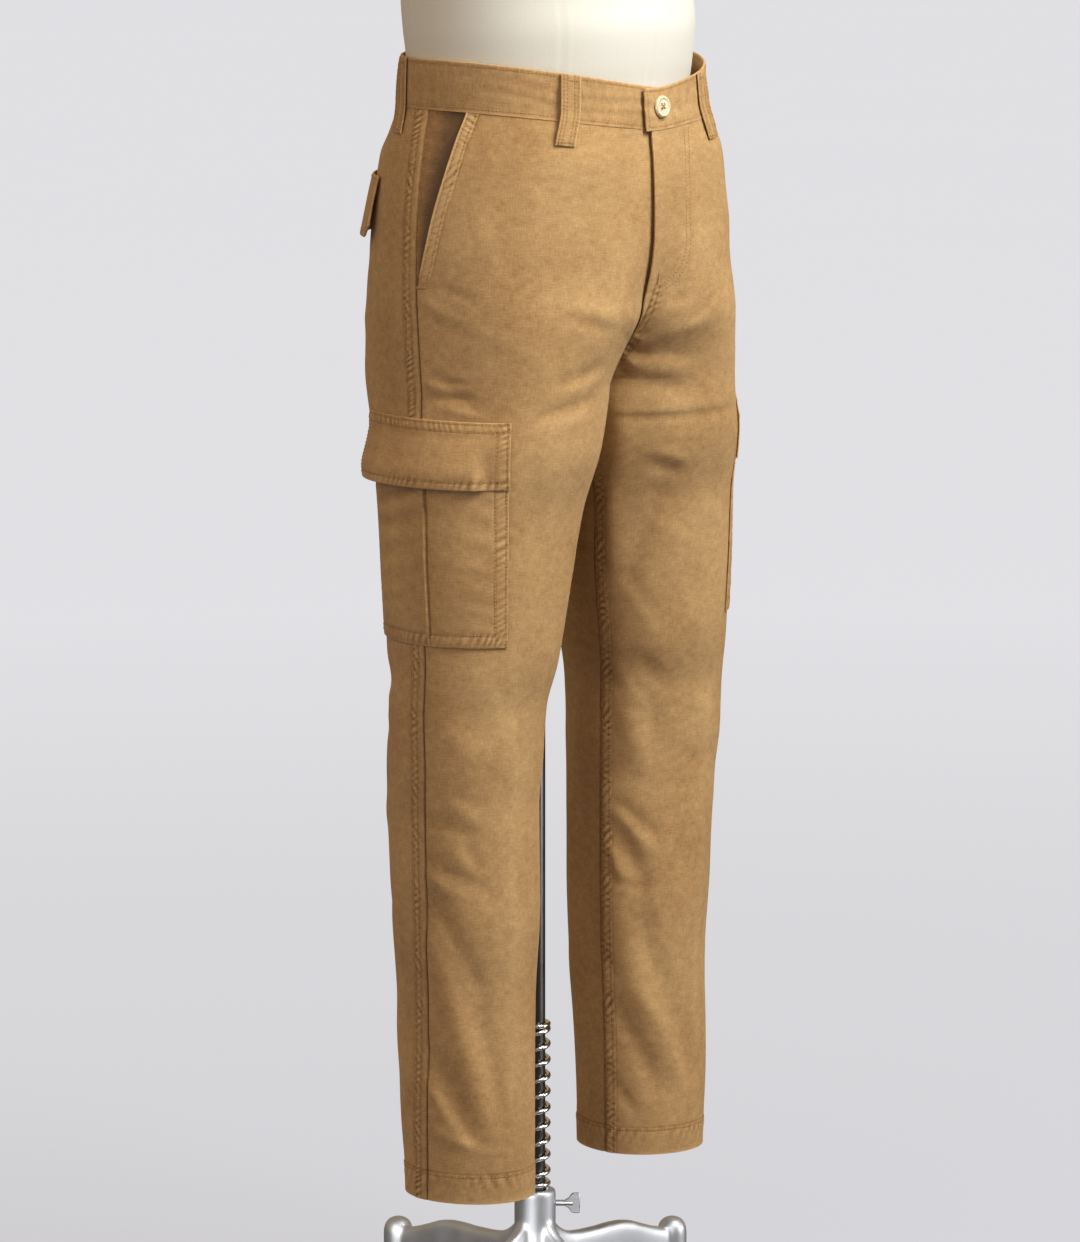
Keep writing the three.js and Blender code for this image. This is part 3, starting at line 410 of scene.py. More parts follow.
def level_section(face, z, t):
    """Level section of one face, from the side seam at t = 0 to the middle at t = 1.

    The first half is a quarter ellipse from the outermost point to the foremost or rearmost one.
    The second is a quarter ellipse on to the innermost point. Above the fork the middle plane cuts
    it, ever nearer to its start, and higher still it rounds over to cross that plane level.
    """
    xo, yo, xi, yi = (along(SECTIONS, key, z) for key in ("xo", "yo", "xi", "yi"))
    xe, ye = (along(SECTIONS, key, z) for key in (("xf", "yf") if face < 0 else ("xb", "yb")))
    first = np.pi * np.minimum(t, 0.5)
    kept = np.clip(1 - (z - FORK) / (FRONT_CURVE if face < 0 else BACK_CURVE), 1e-4, 1)
    second = np.maximum(2 * t - 1, 0) * np.arcsin(kept)
    across = np.sin(second) / kept
    end = yi + (ye - yi) * np.sqrt(1 - kept**2)
    cut_y = mixed(yi + (ye - yi) * np.cos(second), mixed(ye, end, ease(across)), ease((z - FORK - 50) / 50))
    x = np.where(t < 0.5, xe + (xo - xe) * np.cos(first), xe - (xe - xi) * across)
    y = np.where(t < 0.5, yo + (ye - yo) * np.sin(first), cut_y)
    return np.maximum(np.maximum(x, GAP / 2), rod_clearance(y, z)), y


# Lengths of each face's section every 2 mm up, and t at even shares of that length.
LADDER = np.arange(0, 1046, 2.0)
SHARES = np.linspace(0, 1, 241)
lengths, shares_t = {}, {}
for face in (-1, 1):
    steps = np.linspace(0, 1, 201)
    x, y = level_section(face, LADDER[:, None], steps[None, :])
    arcs = np.cumsum(np.hypot(np.diff(x, prepend=x[:, :1]), np.diff(y, prepend=y[:, :1])), axis=1)
    lengths[face] = arcs[:, -1]
    shares_t[face] = np.array([np.interp(SHARES * row[-1], row, steps) for row in arcs])


def face_length(face, z):
    """Arc from the side seam to the middle of a face's section at height z."""
    return np.interp(z, LADDER, lengths[face])


def at_arc(face, z, s):
    """Place on a face's section at arc s, mirrored past the middle: t is read off the ladder."""
    total = face_length(face, z)
    over = s > total
    share = np.clip(np.where(over, 2 * total - s, s) / total, 0, 1) * (len(SHARES) - 1)
    row = np.clip(z / 2, 0, len(LADDER) - 1.001)
    i, j = row.astype(int), np.minimum(share.astype(int), len(SHARES) - 2)
    low = mixed(shares_t[face][i, j], shares_t[face][i, j + 1], share - j)
    high = mixed(shares_t[face][i + 1, j], shares_t[face][i + 1, j + 1], share - j)
    x, y = level_section(face, z, mixed(low, high, row - i))
    return np.where(over, -x, x), y


def row_height(side, face, nominal, to_side):
    """Height of a nominal row: the hems hang a little short, and above the hips rows dip to the front."""
    short = LEFT_SHORT if side > 0 else RIGHT_SHORT
    hem = nominal + short * (1 - nominal / 90)
    seam, top = 4 - 8 * to_side, 4 - 3 * to_side
    if face < 0:
        seam, top = 19 * to_side**1.2 - 23, 26 * to_side**1.15 - 25
    below = nominal + seam * np.clip((nominal - 900) / (WAIST_SEAM - 900), 0, 1)
    above = nominal + mixed(seam, top, (nominal - WAIST_SEAM) / (WAIST_TOP - WAIST_SEAM))
    return np.where(nominal <= 90, hem, np.where(nominal <= WAIST_SEAM, below, above))


# Folds, as ridges (plus) and troughs (minus) from one place on the cloth to another. The broad ones
# are the solids' own, and the rest are finer creases at the fork, the knee, the pockets and the seat.
BROAD_FOLDS = columns("side s0 z0 s1 z1 width height", [
    (1, -250, 784, -196, 790, 9, 1.8), (1, -258, 773, -196, 761, 8, -1.8), (1, -250, 752, -190, 748, 9, 2),
    (1, -234, 737, -186, 731, 8, -1.7), (1, -258, 720, -222, 570, 11, 3.5),
    (1, -190, 652, -208, 563, 11, -3.5), (1, -184, 482, -150, 456, 10, -2.5),
    (1, -160, 440, -144, 392, 11, -2.8), (1, -184, 440, -160, 380, 11, 2.5),
    (1, -178, 315, -150, 262, 10, -3.5), (1, -158, 252, -92, 85, 13, -4),
    (1, -165, 235, -120, 100, 16, 2.5), (1, -166, 146, -132, 72, 10, -3),
    (1, -120, 470, -60, 420, 20, -1.5), (1, -140, 505, -170, 430, 18, 2), (1, -80, 350, -130, 120, 24, 2.5),
    (-1, -8, 285, -45, 205, 13, -3.5), (-1, -45, 205, -78, 50, 13, -4), (-1, -6, 240, -70, 62, 13, 3.5),
    (-1, -4, 145, -52, 52, 12, -3.5), (-1, -106, 680, -126, 520, 13, -2),
    (-1, -130, 470, -60, 450, 20, -1.5), (1, 60, 470, 140, 430, 20, -4), (-1, 60, 480, 150, 440, 20, -4),
    (1, 150, 700, 230, 730, 14, 3), (-1, 140, 690, 225, 725, 14, 3), (1, -55, 340, -55, 190, 45, -3.5),
    (1, 210, 330, 210, 190, 45, -2.5), (-1, 100, 390, 120, 150, 24, 3.5),
])
CREASES = columns("side s0 z0 s1 z1 width height", [
    (1, -262, 772, -240, 764, 3, -2.4), (1, -262, 764, -244, 752, 3, 2),
    (1, -264, 782, -244, 776, 3, 1.9), (1, -262, 756, -250, 744, 2.6, -2),
    (1, -256, 706, -190, 707, 4, -1.5),
    (1, -190, 707, -124, 708, 5, -1.2), (1, -250, 712, -160, 715, 7, 0.9), (1, -218, 666, -186, 655, 6, -2),
    (1, -214, 674, -180, 664, 6, 1.4), (1, -205, 640, -170, 628, 5, -0.8),
    (1, -196, 610, -160, 590, 6, 0.9), (1, -206, 560, -176, 520, 6, -1.2),
    (1, -200, 545, -166, 500, 6, 1.1), (1, -215, 790, -190, 800, 5, 1), (1, -205, 806, -178, 822, 5, -0.9),
    (1, -228, 800, -210, 835, 5, 0.9), (1, -236, 812, -214, 826, 3, -0.9),
    (1, -198, 470, -160, 430, 6, 1.2), (1, -176, 342, -140, 310, 7, -2), (1, -174, 330, -146, 296, 6, 1.5),
    (1, -186, 300, -168, 262, 5, 1.5), (1, -180, 268, -152, 262, 5, -1.4), (1, -168, 72, -150, 46, 6, -1.6),
    (1, -150, 168, -120, 120, 7, 1.3), (1, -124, 120, -100, 64, 8, 1.4), (1, -120, 440, -84, 420, 8, 0.9),
    (1, -130, 400, -90, 372, 8, -0.9), (1, -110, 350, -84, 310, 8, 0.9), (1, -118, 300, -92, 250, 8, -0.9),
    (1, -196, 220, -170, 180, 6, -1), (1, -190, 130, -174, 92, 6, 0.9), (1, -150, 545, -120, 500, 8, 0.9),
    (1, -140, 622, -104, 600, 7, 0.9), (-1, -152, 808, -190, 795, 7, -1.8),
    (-1, -150, 820, -196, 806, 8, 1.5), (-1, -140, 752, -188, 765, 7, -1.7),
    (-1, -112, 722, -178, 735, 6, -1.6), (-1, -130, 740, -184, 752, 6, 1.3),
    (-1, -120, 708, -170, 720, 7, 1), (-1, -210, 812, -236, 800, 4, 1.2),
    (-1, -206, 796, -232, 782, 4, -1.2), (-1, -14, 758, -60, 727, 5, -1.2),
    (-1, -6, 737, -52, 737, 4, -1.3), (-1, -22, 728, -62, 722, 4, 1.1), (-1, -10, 747, -40, 742, 4, 1.1),
    (-1, -26, 752, -50, 750, 3, -0.9), (-1, -50, 978, -96, 928, 6, -1), (-1, -56, 978, -78, 940, 5, 1),
    (-1, -70, 960, -110, 915, 7, 0.8), (-1, -30, 834, -58, 824, 5, -1.1), (-1, -8, 824, -38, 806, 5, 1.1),
    (-1, -14, 806, -50, 796, 6, -0.8), (-1, -60, 900, -90, 840, 9, 0.8),
    (-1, -76, 880, -110, 812, 10, -0.7), (-1, -120, 905, -160, 880, 10, 0.7),
    (-1, -60, 800, -120, 770, 9, 0.7), (-1, -97, 700, -87, 500, 5, 0.9), (-1, -87, 500, -89, 374, 4.5, 0.9),
    (-1, -89, 374, -84, 236, 4.5, 1), (-1, -84, 236, -84, 40, 4.5, 1.1), (1, -97, 700, -88, 400, 5, 0.9),
    (1, -88, 400, -84, 40, 5, 0.9), (-1, -8, 357, -58, 340, 7, -1.2), (-1, -28, 372, -50, 359, 6, 1.3),
    (-1, -6, 320, -56, 294, 7, -1.5), (-1, -40, 340, -66, 284, 7, -1.4), (-1, -6, 304, -24, 291, 5, 1.5),
    (-1, -30, 330, -60, 300, 6, 1), (-1, -50, 420, -80, 380, 8, -0.9), (-1, -20, 440, -60, 410, 9, 0.9),
    (-1, -60, 480, -84, 430, 8, 0.9), (-1, -2, 112, -40, 58, 6, 1.6), (-1, -12, 262, -50, 190, 5, 1),
    (-1, -96, 300, -120, 220, 9, -0.9), (-1, -100, 190, -120, 100, 9, 0.9), (-1, -10, 70, -60, 50, 5, 1.2),
    (-1, 40, 470, 110, 450, 8, 1.2), (-1, 60, 440, 130, 400, 8, -1.3), (-1, 50, 380, 120, 320, 9, 1.2),
    (-1, 60, 300, 110, 220, 9, -1.1), (-1, 150, 740, 230, 770, 7, 1.5), (-1, 140, 720, 220, 742, 6, -1.4),
    (-1, 120, 690, 200, 700, 7, 1.2), (-1, 100, 800, 190, 780, 9, 1.1), (-1, 110, 850, 180, 838, 9, -1),
    (-1, 150, 200, 110, 90, 12, -1.8), (-1, 40, 200, 80, 110, 12, 1.4), (-1, 20, 962, 64, 955, 7, 0.6),
    (1, 40, 476, 120, 452, 8, 1.3), (1, 66, 436, 140, 404, 8, -1.3), (1, 50, 372, 110, 330, 9, 1.1),
    (1, 70, 290, 120, 214, 9, -1.2), (1, 150, 738, 226, 772, 7, 1.5), (1, 146, 716, 215, 736, 6, -1.4),
    (1, 124, 686, 196, 694, 7, 1.2), (1, 96, 806, 184, 786, 9, 1.1), (1, 116, 856, 186, 842, 9, -1),
    (1, 60, 200, 110, 80, 13, -1.8), (1, 140, 180, 100, 100, 12, 1.4), (1, 20, 960, 60, 955, 7, 0.6),
    (1, -140, 900, -100, 870, 12, 0.8), (1, -120, 860, -80, 800, 12, -0.7),
])


def folds_at(table, side, s, z):
    """Height of a table's folds: along each line a smooth hump that fades to both ends, and across
    it a bell curve of the fold's width."""
    lift = np.zeros_like(s)
    rows = np.array([table[key] for key in ("side", "s0", "z0", "s1", "z1", "width", "height")]).T
    for row_side, s0, z0, s1, z1, width, height in rows:
        if row_side != side:
            continue
        ds, dz = s1 - s0, z1 - z0
        t = np.clip(((s - s0) * ds + (z - z0) * dz) / (ds * ds + dz * dz), 0, 1)
        away = np.hypot(s - s0 - t * ds, z - z0 - t * dz) / width
        lift += height * np.exp(-(away**2)) * np.sqrt(np.sin(np.pi * mixed(0.08, 0.92, t)))
    return lift


def ripple(x, pitch, seed=0.0):
    """Uneven wave of about one crest each pitch: a sine whose phase and size wander."""
    phase = 2 * np.pi * x / pitch + 1.9 * np.sin(x / pitch * 0.83 + seed)
    phase = phase + 1.1 * np.sin(x / pitch * 0.37 + 2 * seed)
    return np.sin(phase) * (0.65 + 0.35 * np.sin(x / pitch * 0.61 + 3 * seed + 1))


def garment(side, s, nominal, lift=0.0):
    """Points on the cloth, moved out by lift, and their outward directions, for arrays of arcs and
    nominal heights. The two faces' sections give the place, and folds and slackness move it out."""
    s, nominal, lift = (np.array(a, float) for a in np.broadcast_arrays(s, nominal, lift))
    points, out = np.empty(s.shape + (3,)), np.zeros(s.shape + (3,))
    for face in (-1, 1):
        mine = s < 0 if face < 0 else s >= 0
        arc, row = np.abs(s[mine]), nominal[mine]
        total = face_length(face, row)
        widest = along(SECTIONS, "xo", row)
        x0, _ = at_arc(face, row, np.minimum(arc, total))
        z = row_height(side, face, row, np.minimum(x0 / widest, 1))
        toward = np.clip((arc - 90) / (total - 98), 0, 1) ** 2
        arc = arc + (face_length(face, z) - total) * toward
        x, y = at_arc(face, z, arc)
        behind, before = at_arc(face, z, np.maximum(arc - 1.5, 0)), at_arc(face, z, arc + 1.5)
        nx, ny = face * (before[1] - behind[1]), -face * (before[0] - behind[0])
        size = np.hypot(nx, ny)
        nx, ny = nx / size, ny / size
        if side < 0:
            innermost = along(SECTIONS, "xi", row)
            x = x + RIGHT_INSET * ease((660 - z) / 160) * (widest - x) / (widest - innermost)
        beside = np.maximum(np.maximum((arc - 92) / 25, (508 - z) / 25), (z - 724) / 25)
        slack = folds_at(BROAD_FOLDS, side, face * arc, z) * ease(beside) * ease((z - 20) / 60)
        slack += folds_at(CREASES, side, face * arc, z) * ease((z - 30) / 30)
        soft = np.sin(z / 41 + arc / 63 + side) + np.sin(z / 67 - arc / 37 + 2 * face)
        soft = soft + np.sin(z / 29 + arc / 90)
        slack += 0.22 * soft * ease((z - 10) / 60) * ease((990 - z) / 60) * ease(arc / 30)
        reach = slack + lift[mine]
        points[mine] = np.stack([side * (x + nx * reach), y + ny * reach + GARMENT_Y, z + HEM_HEIGHT], -1)
        out[mine] = np.stack([side * nx, ny, np.zeros_like(nx)], -1)
    return points, out


def wall_piece(name, outer, inner, uv, material, wear_and_shade=None, sharp=60):
    """Closed thin wall: an outer and an inner grid of points, joined by a rim along their edges."""
    rows, count = outer.shape[:2]
    o = np.arange(rows * count).reshape(rows, count)
    i = o + rows * count

    def strip(a, b):
        return np.stack([a[1:], a[:-1], b[:-1], b[1:]], -1)

    cells = np.stack([o[:-1, :-1], o[:-1, 1:], o[1:, 1:], o[1:, :-1]], -1).reshape(-1, 4)
    faces = np.vstack([cells, cells[:, ::-1] + rows * count, strip(o[0], i[0]), strip(i[-1], o[-1]),
                       strip(i[:, 0], o[:, 0]), strip(o[:, -1], i[:, -1])])
    points = np.vstack([outer.reshape(-1, 3), inner.reshape(-1, 3)])
    a, b, c = (outer.reshape(-1, 3)[cells[:, k]] for k in (0, 1, 3))
    out = outer.reshape(-1, 3)[cells[:, 0]] - inner.reshape(-1, 3)[cells[:, 0]]
    if np.einsum("ij,ij->i", np.cross(b - a, c - a), out).sum() < 0:
        faces = faces[:, ::-1]
    uv = np.vstack([uv.reshape(-1, 2)] * 2)
    wear_and_shade = np.zeros(len(points)) if wear_and_shade is None else np.tile(wear_and_shade.ravel(), 2)
    return make_piece(name, points, faces, material, "form", uv=uv, wear_and_shade=wear_and_shade, sharp=sharp)


def graded(start, end, fine, coarse, margin):
    """Places from start to end, fine steps within margin of both ends and coarse ones between."""
    if end - start <= 2 * margin:
        return np.linspace(start, end, max(int((end - start) / fine), 2) + 1)
    near = np.linspace(start, start + margin, int(margin / fine) + 1)
    far = np.linspace(end - margin, end, int(margin / fine) + 1)
    middle = np.linspace(near[-1], far[0], int((far[0] - near[-1]) / coarse) + 2)
    return np.concatenate([near[:-1], middle, far[1:]])


def twill_group():
    """Washed twill, worked out on a UV map in metres.

    The weave is a sine across lines that climb to the right, broken up by noise. Slubs are noise
    drawn out along the weft, and fading is slow noise. The wear and shade input turns edges, crests
    and crease ridges paler, partly wear and partly painted highlight, and paints shade into seams,
    stitch rows, crease troughs and the pocket facings as deeper, darker colour.
    """
    group = bpy.data.node_groups.new("washed_twill", "ShaderNodeTree")
    for name, kind in (("Pale", "NodeSocketColor"), ("Deep", "NodeSocketColor"),
                       ("WearAndShade", "NodeSocketFloat")):
        group.interface.new_socket(name, in_out="INPUT", socket_type=kind)
    for name, kind in (("Color", "NodeSocketColor"), ("Height", "NodeSocketFloat")):
        group.interface.new_socket(name, in_out="OUTPUT", socket_type=kind)
    nodes, links = group.nodes, group.links
    given, result = nodes.new("NodeGroupInput"), nodes.new("NodeGroupOutput")
    cut = nodes.new("ShaderNodeUVMap")
    cut.uv_map = "cut"

    def noise(stretch, detail):
        return noise_on(group, stretched(group, cut.outputs["UV"], stretch), 1, detail)

    def maths(operation, a, b):
        node = nodes.new("ShaderNodeMath")
        node.operation = operation
        for socket, value in zip(node.inputs, (a, b)):
            if isinstance(value, (int, float)):
                socket.default_value = value
            else:
                links.new(value, socket)
        return node.outputs["Value"]

    slub, warp = noise((170, 740, 1), 3), noise((820, 130, 1), 2)
    fade, mottle = noise((16, 10, 1), 4), noise((90, 120, 1), 3)
    parts = nodes.new("ShaderNodeSeparateXYZ")
    links.new(cut.outputs["UV"], parts.inputs["Vector"])
    climb = maths("SUBTRACT", maths("MULTIPLY", parts.outputs["Y"], 5200),
                  maths("MULTIPLY", parts.outputs["X"], 7400))
    lines = maths("SINE", maths("ADD", climb, maths("MULTIPLY", slub, 3.0)), 0)
    weave = maths("ADD", maths("MULTIPLY", lines, 0.22), maths("ADD", slub, maths("MULTIPLY", warp, 0.7)))
    grain = maths("ADD", maths("MULTIPLY", slub, 0.55), maths("MULTIPLY", warp, 0.46))
    grain = maths("ADD", grain, maths("MULTIPLY", mottle, 0.5))
    share = maths("ADD", maths("ADD", grain, maths("MULTIPLY", fade, 0.7)),
                  maths("MULTIPLY", given.outputs["WearAndShade"], 0.42))
    spread = added(group, "MapRange", From_Min=0.72, From_Max=1.44)
    links.new(share, spread.inputs["Value"])
    tint = nodes.new("ShaderNodeMix")
    tint.data_type = "RGBA"
    links.new(spread.outputs["Result"], tint.inputs["Factor"])
    links.new(given.outputs["Deep"], tint.inputs["A"])
    links.new(given.outputs["Pale"], tint.inputs["B"])
    # Painted shade: where the share runs low, the colour is scaled down to as little as 0.42 of itself.
    depth = added(group, "MapRange", From_Min=0.1, From_Max=0.78, To_Min=0.42, To_Max=1)
    links.new(share, depth.inputs["Value"])
    dark = nodes.new("ShaderNodeVectorMath")
    dark.operation = "SCALE"
    links.new(tint.outputs["Result"], dark.inputs["Vector"])
    links.new(depth.outputs["Result"], dark.inputs["Scale"])
    links.new(dark.outputs["Vector"], result.inputs["Color"])
    links.new(weave, result.inputs["Height"])
    return group


def twill(name, pale, deep, depth=0.2):
    """Cotton twill with a short nap: the weave group's colour and bump, and a soft sheen."""
    material, tree, shader = surface(name, Roughness=0.92, Specular_IOR_Level=0.3, Sheen_Weight=0.12,
                                     Sheen_Roughness=0.5, Sheen_Tint=linear(226, 196, 150))
    weave = tree.nodes.new("ShaderNodeGroup")
    weave.node_tree = washed_twill
    settings(weave, {"Pale": pale, "Deep": deep})
    # The wear and shade attribute carries each piece's worn edges and its painted light and shade.
    wear_and_shade = tree.nodes.new("ShaderNodeAttribute")
    wear_and_shade.attribute_name = "wear_and_shade"
    tree.links.new(wear_and_shade.outputs["Fac"], weave.inputs["WearAndShade"])
    tree.links.new(weave.outputs["Color"], shader.inputs["Base Color"])
    bumped(tree, shader, weave.outputs["Height"], depth, 0.7)
    return material


washed_twill = twill_group()
khaki = twill("khaki_twill", linear(206, 167, 113), linear(152, 110, 60))
thread_khaki = twill("khaki_thread", linear(186, 147, 97), linear(128, 92, 52), depth=0.05)


def front_lap(side, nominal):
    """How far a front reaches past the centre line: the left one laps over the fly."""
    return FLY_LAP * ease((nominal - FLY_FOOT + 1) / 26) if side > 0 else np.zeros_like(nominal)


def fly_lift(side, face, to_edge, nominal):
    """The left front rises over the right one before it crosses the centre line."""
    if side < 0 or face > 0:
        return np.zeros_like(to_edge)
    height = mixed(1.75, 2.9 + 1.8 * ease((4 - to_edge) / 16), ease((nominal - 812) / 30))
    return height * ease((40 - to_edge) / 26) * ease((nominal - FLY_FOOT + 18) / 36)


def pocket_edge(nominal):
    """Arc of the slanted pocket's edge, forward of the side seam."""
    return POCKET_SLANT * np.clip((nominal - POCKET_FOOT) / (WAIST_SEAM - POCKET_FOOT), 0, None) ** 0.82


def mouth_lift(away, nominal):
    """The slanted edge stands proud of the facing, most at its middle, fading over 20 mm."""
    up = np.clip((nominal - POCKET_FOOT) / (WAIST_SEAM - POCKET_FOOT), 0, 1)
    return 2.6 * np.sin(np.pi * up) * np.exp(-away / 20)


FELLED, SIDE_BAND, SIDE_FIRST, MOUTH_BAND, RISE_BAND = 12.5, 16.5, 7.5, 12, 10
THREAD_LIFT = 0.1


def felled(away, z, seed, width=FELLED, first=2.6):
    """A felled seam's band: a flat raised strip with a valley at each row of stitches, puckered
    unevenly and a little aslant between them. Gives its height, and its wear and painted shade:
    pucker crests paler and troughs darker, partly wear and partly painted light and shade, and
    painted shade in the stitch valleys and just past the band's edge."""
    strip = 1 - ease((away - width + 1.2) / 1.8)
    rows = bell(away - first, 0.9) + bell(away - width + 2.4, 0.9)
    pucker = ripple(z + 0.5 * away, 5.2, seed) * bell(2 * away - width - first, width - first + 2)
    edge = bell(away - width - 0.6, 0.9)
    return strip * 0.75 - 0.4 * rows + 0.5 * pucker, 1.5 * pucker * strip - 1.1 * rows - 0.9 * edge


def panel_lift(side, face, away, to_edge, nominal):
    """Height of a panel's own sewn edges: seams, felled bands, slanted pocket edge, fly and hem, and
    their wear and painted shade: painted shade along seams, stitch rows and crease troughs, and paler
    edges, bands and crests, partly wear and partly painted highlight.
    """
    seed = side + 2.5 * face
    lift = -0.9 * bell(away, 1.1)
    # Painted shade along the seam line, and below the fork along the inseam too.
    wear_and_shade = -1.2 * bell(away, 1.1)
    below = ease((FORK + 12 - nominal) / 24)
    lift -= 0.9 * bell(to_edge, 1.1) * below
    wear_and_shade -= 1.2 * bell(to_edge, 1.1) * below
    if face > 0:
        band, band_wear_and_shade = felled(away, nominal, seed, SIDE_BAND, SIDE_FIRST)
        lift, wear_and_shade = lift + band, wear_and_shade + band_wear_and_shade
        rise, band_wear_and_shade = felled(to_edge, nominal, seed + 1, RISE_BAND)
        above = (1 - below) * (side < 0)
        lift, wear_and_shade = lift + rise * above, wear_and_shade + band_wear_and_shade * above
    else:
        band, band_wear_and_shade = felled(to_edge, nominal, seed + 2)
        lift, wear_and_shade = lift + band * below, wear_and_shade + band_wear_and_shade * below
        up = ease((nominal - POCKET_FOOT - 2) / 10)
        mouth, band_wear_and_shade = felled(away, 1.05 * nominal, seed + 3, MOUTH_BAND)
        lift += mouth_lift(away, nominal) + (mouth + 1.4 * bell(away, 1.1)) * up
        # The slanted edge's band paler and its fold brighter, partly wear and partly painted highlight.
        wear_and_shade = wear_and_shade + (band_wear_and_shade + 0.9 * bell(away, 1.3) + 0.8 * (away < MOUTH_BAND)) * up
        beside = ease((nominal - FORK - 10) / 12) * ease((842 - nominal) / 20) * (side > 0)
        rise, band_wear_and_shade = felled(np.maximum(to_edge, 0), nominal, seed + 5, 10.4, 2.4)
        lift, wear_and_shade = lift + 0.8 * rise * beside, wear_and_shade + band_wear_and_shade * beside
        lift += fly_lift(side, face, to_edge, nominal)
        lift += 0.3 * ripple(nominal, 9, seed) * bell(away - 3, 5) * (1 - up)
    hem = 1 - ease((nominal - HEM_DEPTH + 1) / 2)
    twist = ripple(away + 0.4 * nominal, 10, seed) * bell(nominal - HEM_DEPTH + 4, 11)
    row = bell(nominal - HEM_DEPTH + 2.5, 1.0)
    lift += 0.7 * hem + 0.42 * twist - 0.4 * row
    # The hem's fold paler, partly wear and partly painted highlight, and painted shade just above its step.
    hem_wear_and_shade = 0.5 * bell(nominal, 2.5) - 0.9 * bell(nominal - HEM_DEPTH - 0.8, 0.9)
    signed = np.broadcast_to(face * (away + (pocket_edge(nominal) if face < 0 else 0)), lift.shape)
    crest = folds_at(CREASES, side, signed, np.broadcast_to(nominal, lift.shape))
    # Painted light and shade on the hem's twists and stitch row. From the crease table, a painted highlight on
    # ridges and painted shade in troughs.
    return lift, wear_and_shade + 0.8 * twist * hem - 0.8 * row + hem_wear_and_shade + 0.15 * crest


def panel(name, side, face):
    """One leg panel on rows up from the hem: each row runs from the side seam or the slanted pocket
    edge to the inseam, or to the crotch seam above the fork."""
    low, high = graded(0, FORK, 1.7, 3.0, 34), graded(FORK, WAIST_SEAM - GAP / 2, 1.5, 3.0, 30)
    nominal = np.concatenate([low, high[1:]])[:, None]
    share = graded(0, 1, 0.0064, 0.021, 0.085)[None, :]
    edge = (pocket_edge(nominal) if face < 0 else 0) + GAP / 2
    total = face_length(face, nominal)
    lap = front_lap(side, nominal) if face < 0 else 0
    s = edge + (total + lap - GAP / 2 - edge) * share
    nominal = np.broadcast_to(nominal, s.shape)
    lift, wear_and_shade = panel_lift(side, face, s - edge, total - s, nominal)
    outer, out = garment(side, face * s, nominal, lift)
    thick = np.where(nominal <= HEM_DEPTH, 2 * CLOTH - 0.2, CLOTH) + 0.1
    inner = outer - out * thick[..., None]
    for grid in (outer, inner):
        kept = total - s > -1
        grid[..., 0] = np.where(kept, side * np.maximum(side * grid[..., 0], GAP / 2), grid[..., 0])
    uv = np.stack([face * s + 700 * side, nominal + 40 * face], -1)
    piece = wall_piece("cloth_" + name, outer, inner, uv, khaki, wear_and_shade)
    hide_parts(name)
    return piece


def stitch_run(points, out, pitch=3.3, size=0.42):
    """One row of stitches along a path: each a short rod of four sides that dips in at both ends."""
    path = np.concatenate([[0], np.cumsum(np.linalg.norm(np.diff(points, axis=0), axis=1))])
    count = max(int(path[-1] / pitch), 1)
    share = np.array([0.1, 0.3, 0.7, 0.9])
    at = (np.arange(count)[:, None] + share) * path[-1] / count
    centre = np.stack([np.interp(at, path, points[:, k]) for k in range(3)], -1)
    normal = np.stack([np.interp(at, path, out[:, k]) for k in range(3)], -1)
    ahead = centre[:, -1:] - centre[:, :1]
    sideways = np.cross(normal, ahead)
    sideways /= np.linalg.norm(sideways, axis=-1, keepdims=True)
    centre = centre + normal * (np.array([-0.3, 0.12, 0.12, -0.3])[:, None])
    ring = [sideways * size, normal * size * 0.8, -sideways * size, -normal * size * 0.8]
    grid = np.stack([centre + r for r in ring], 2)
    index = np.arange(count * 16).reshape(count, 4, 4)
    turned_on = np.roll(index, -1, axis=2)
    sides = np.stack([index[:, :-1], turned_on[:, :-1], turned_on[:, 1:], index[:, 1:]], -1).reshape(-1, 4)
    ends = np.vstack([index[:, 0, ::-1], index[:, -1]])
    return grid.reshape(-1, 3), np.vstack([sides, ends])


def on_cloth(side, s, z, lift):
    """A path of at least 400 places on the cloth between those given, with its outward directions."""
    steps = np.linspace(0, 1, max(400, len(s)))
    given = np.linspace(0, 1, len(s))
    s, z, lift = (np.interp(steps, given, np.broadcast_to(a, (len(given),))) for a in (s, z, lift))
    return garment(side, s, z, lift)


def sew(name, runs):
    """All the stitch rows of one part as one piece of thread."""
    points, faces = joined([stitch_run(*run) for run in runs])
    piece = make_piece(name, points, faces, thread_khaki, "form", uv=points[:, [0, 2]], sharp=80,
                       wear_and_shade=np.full(len(points), 0.3))
    return piece


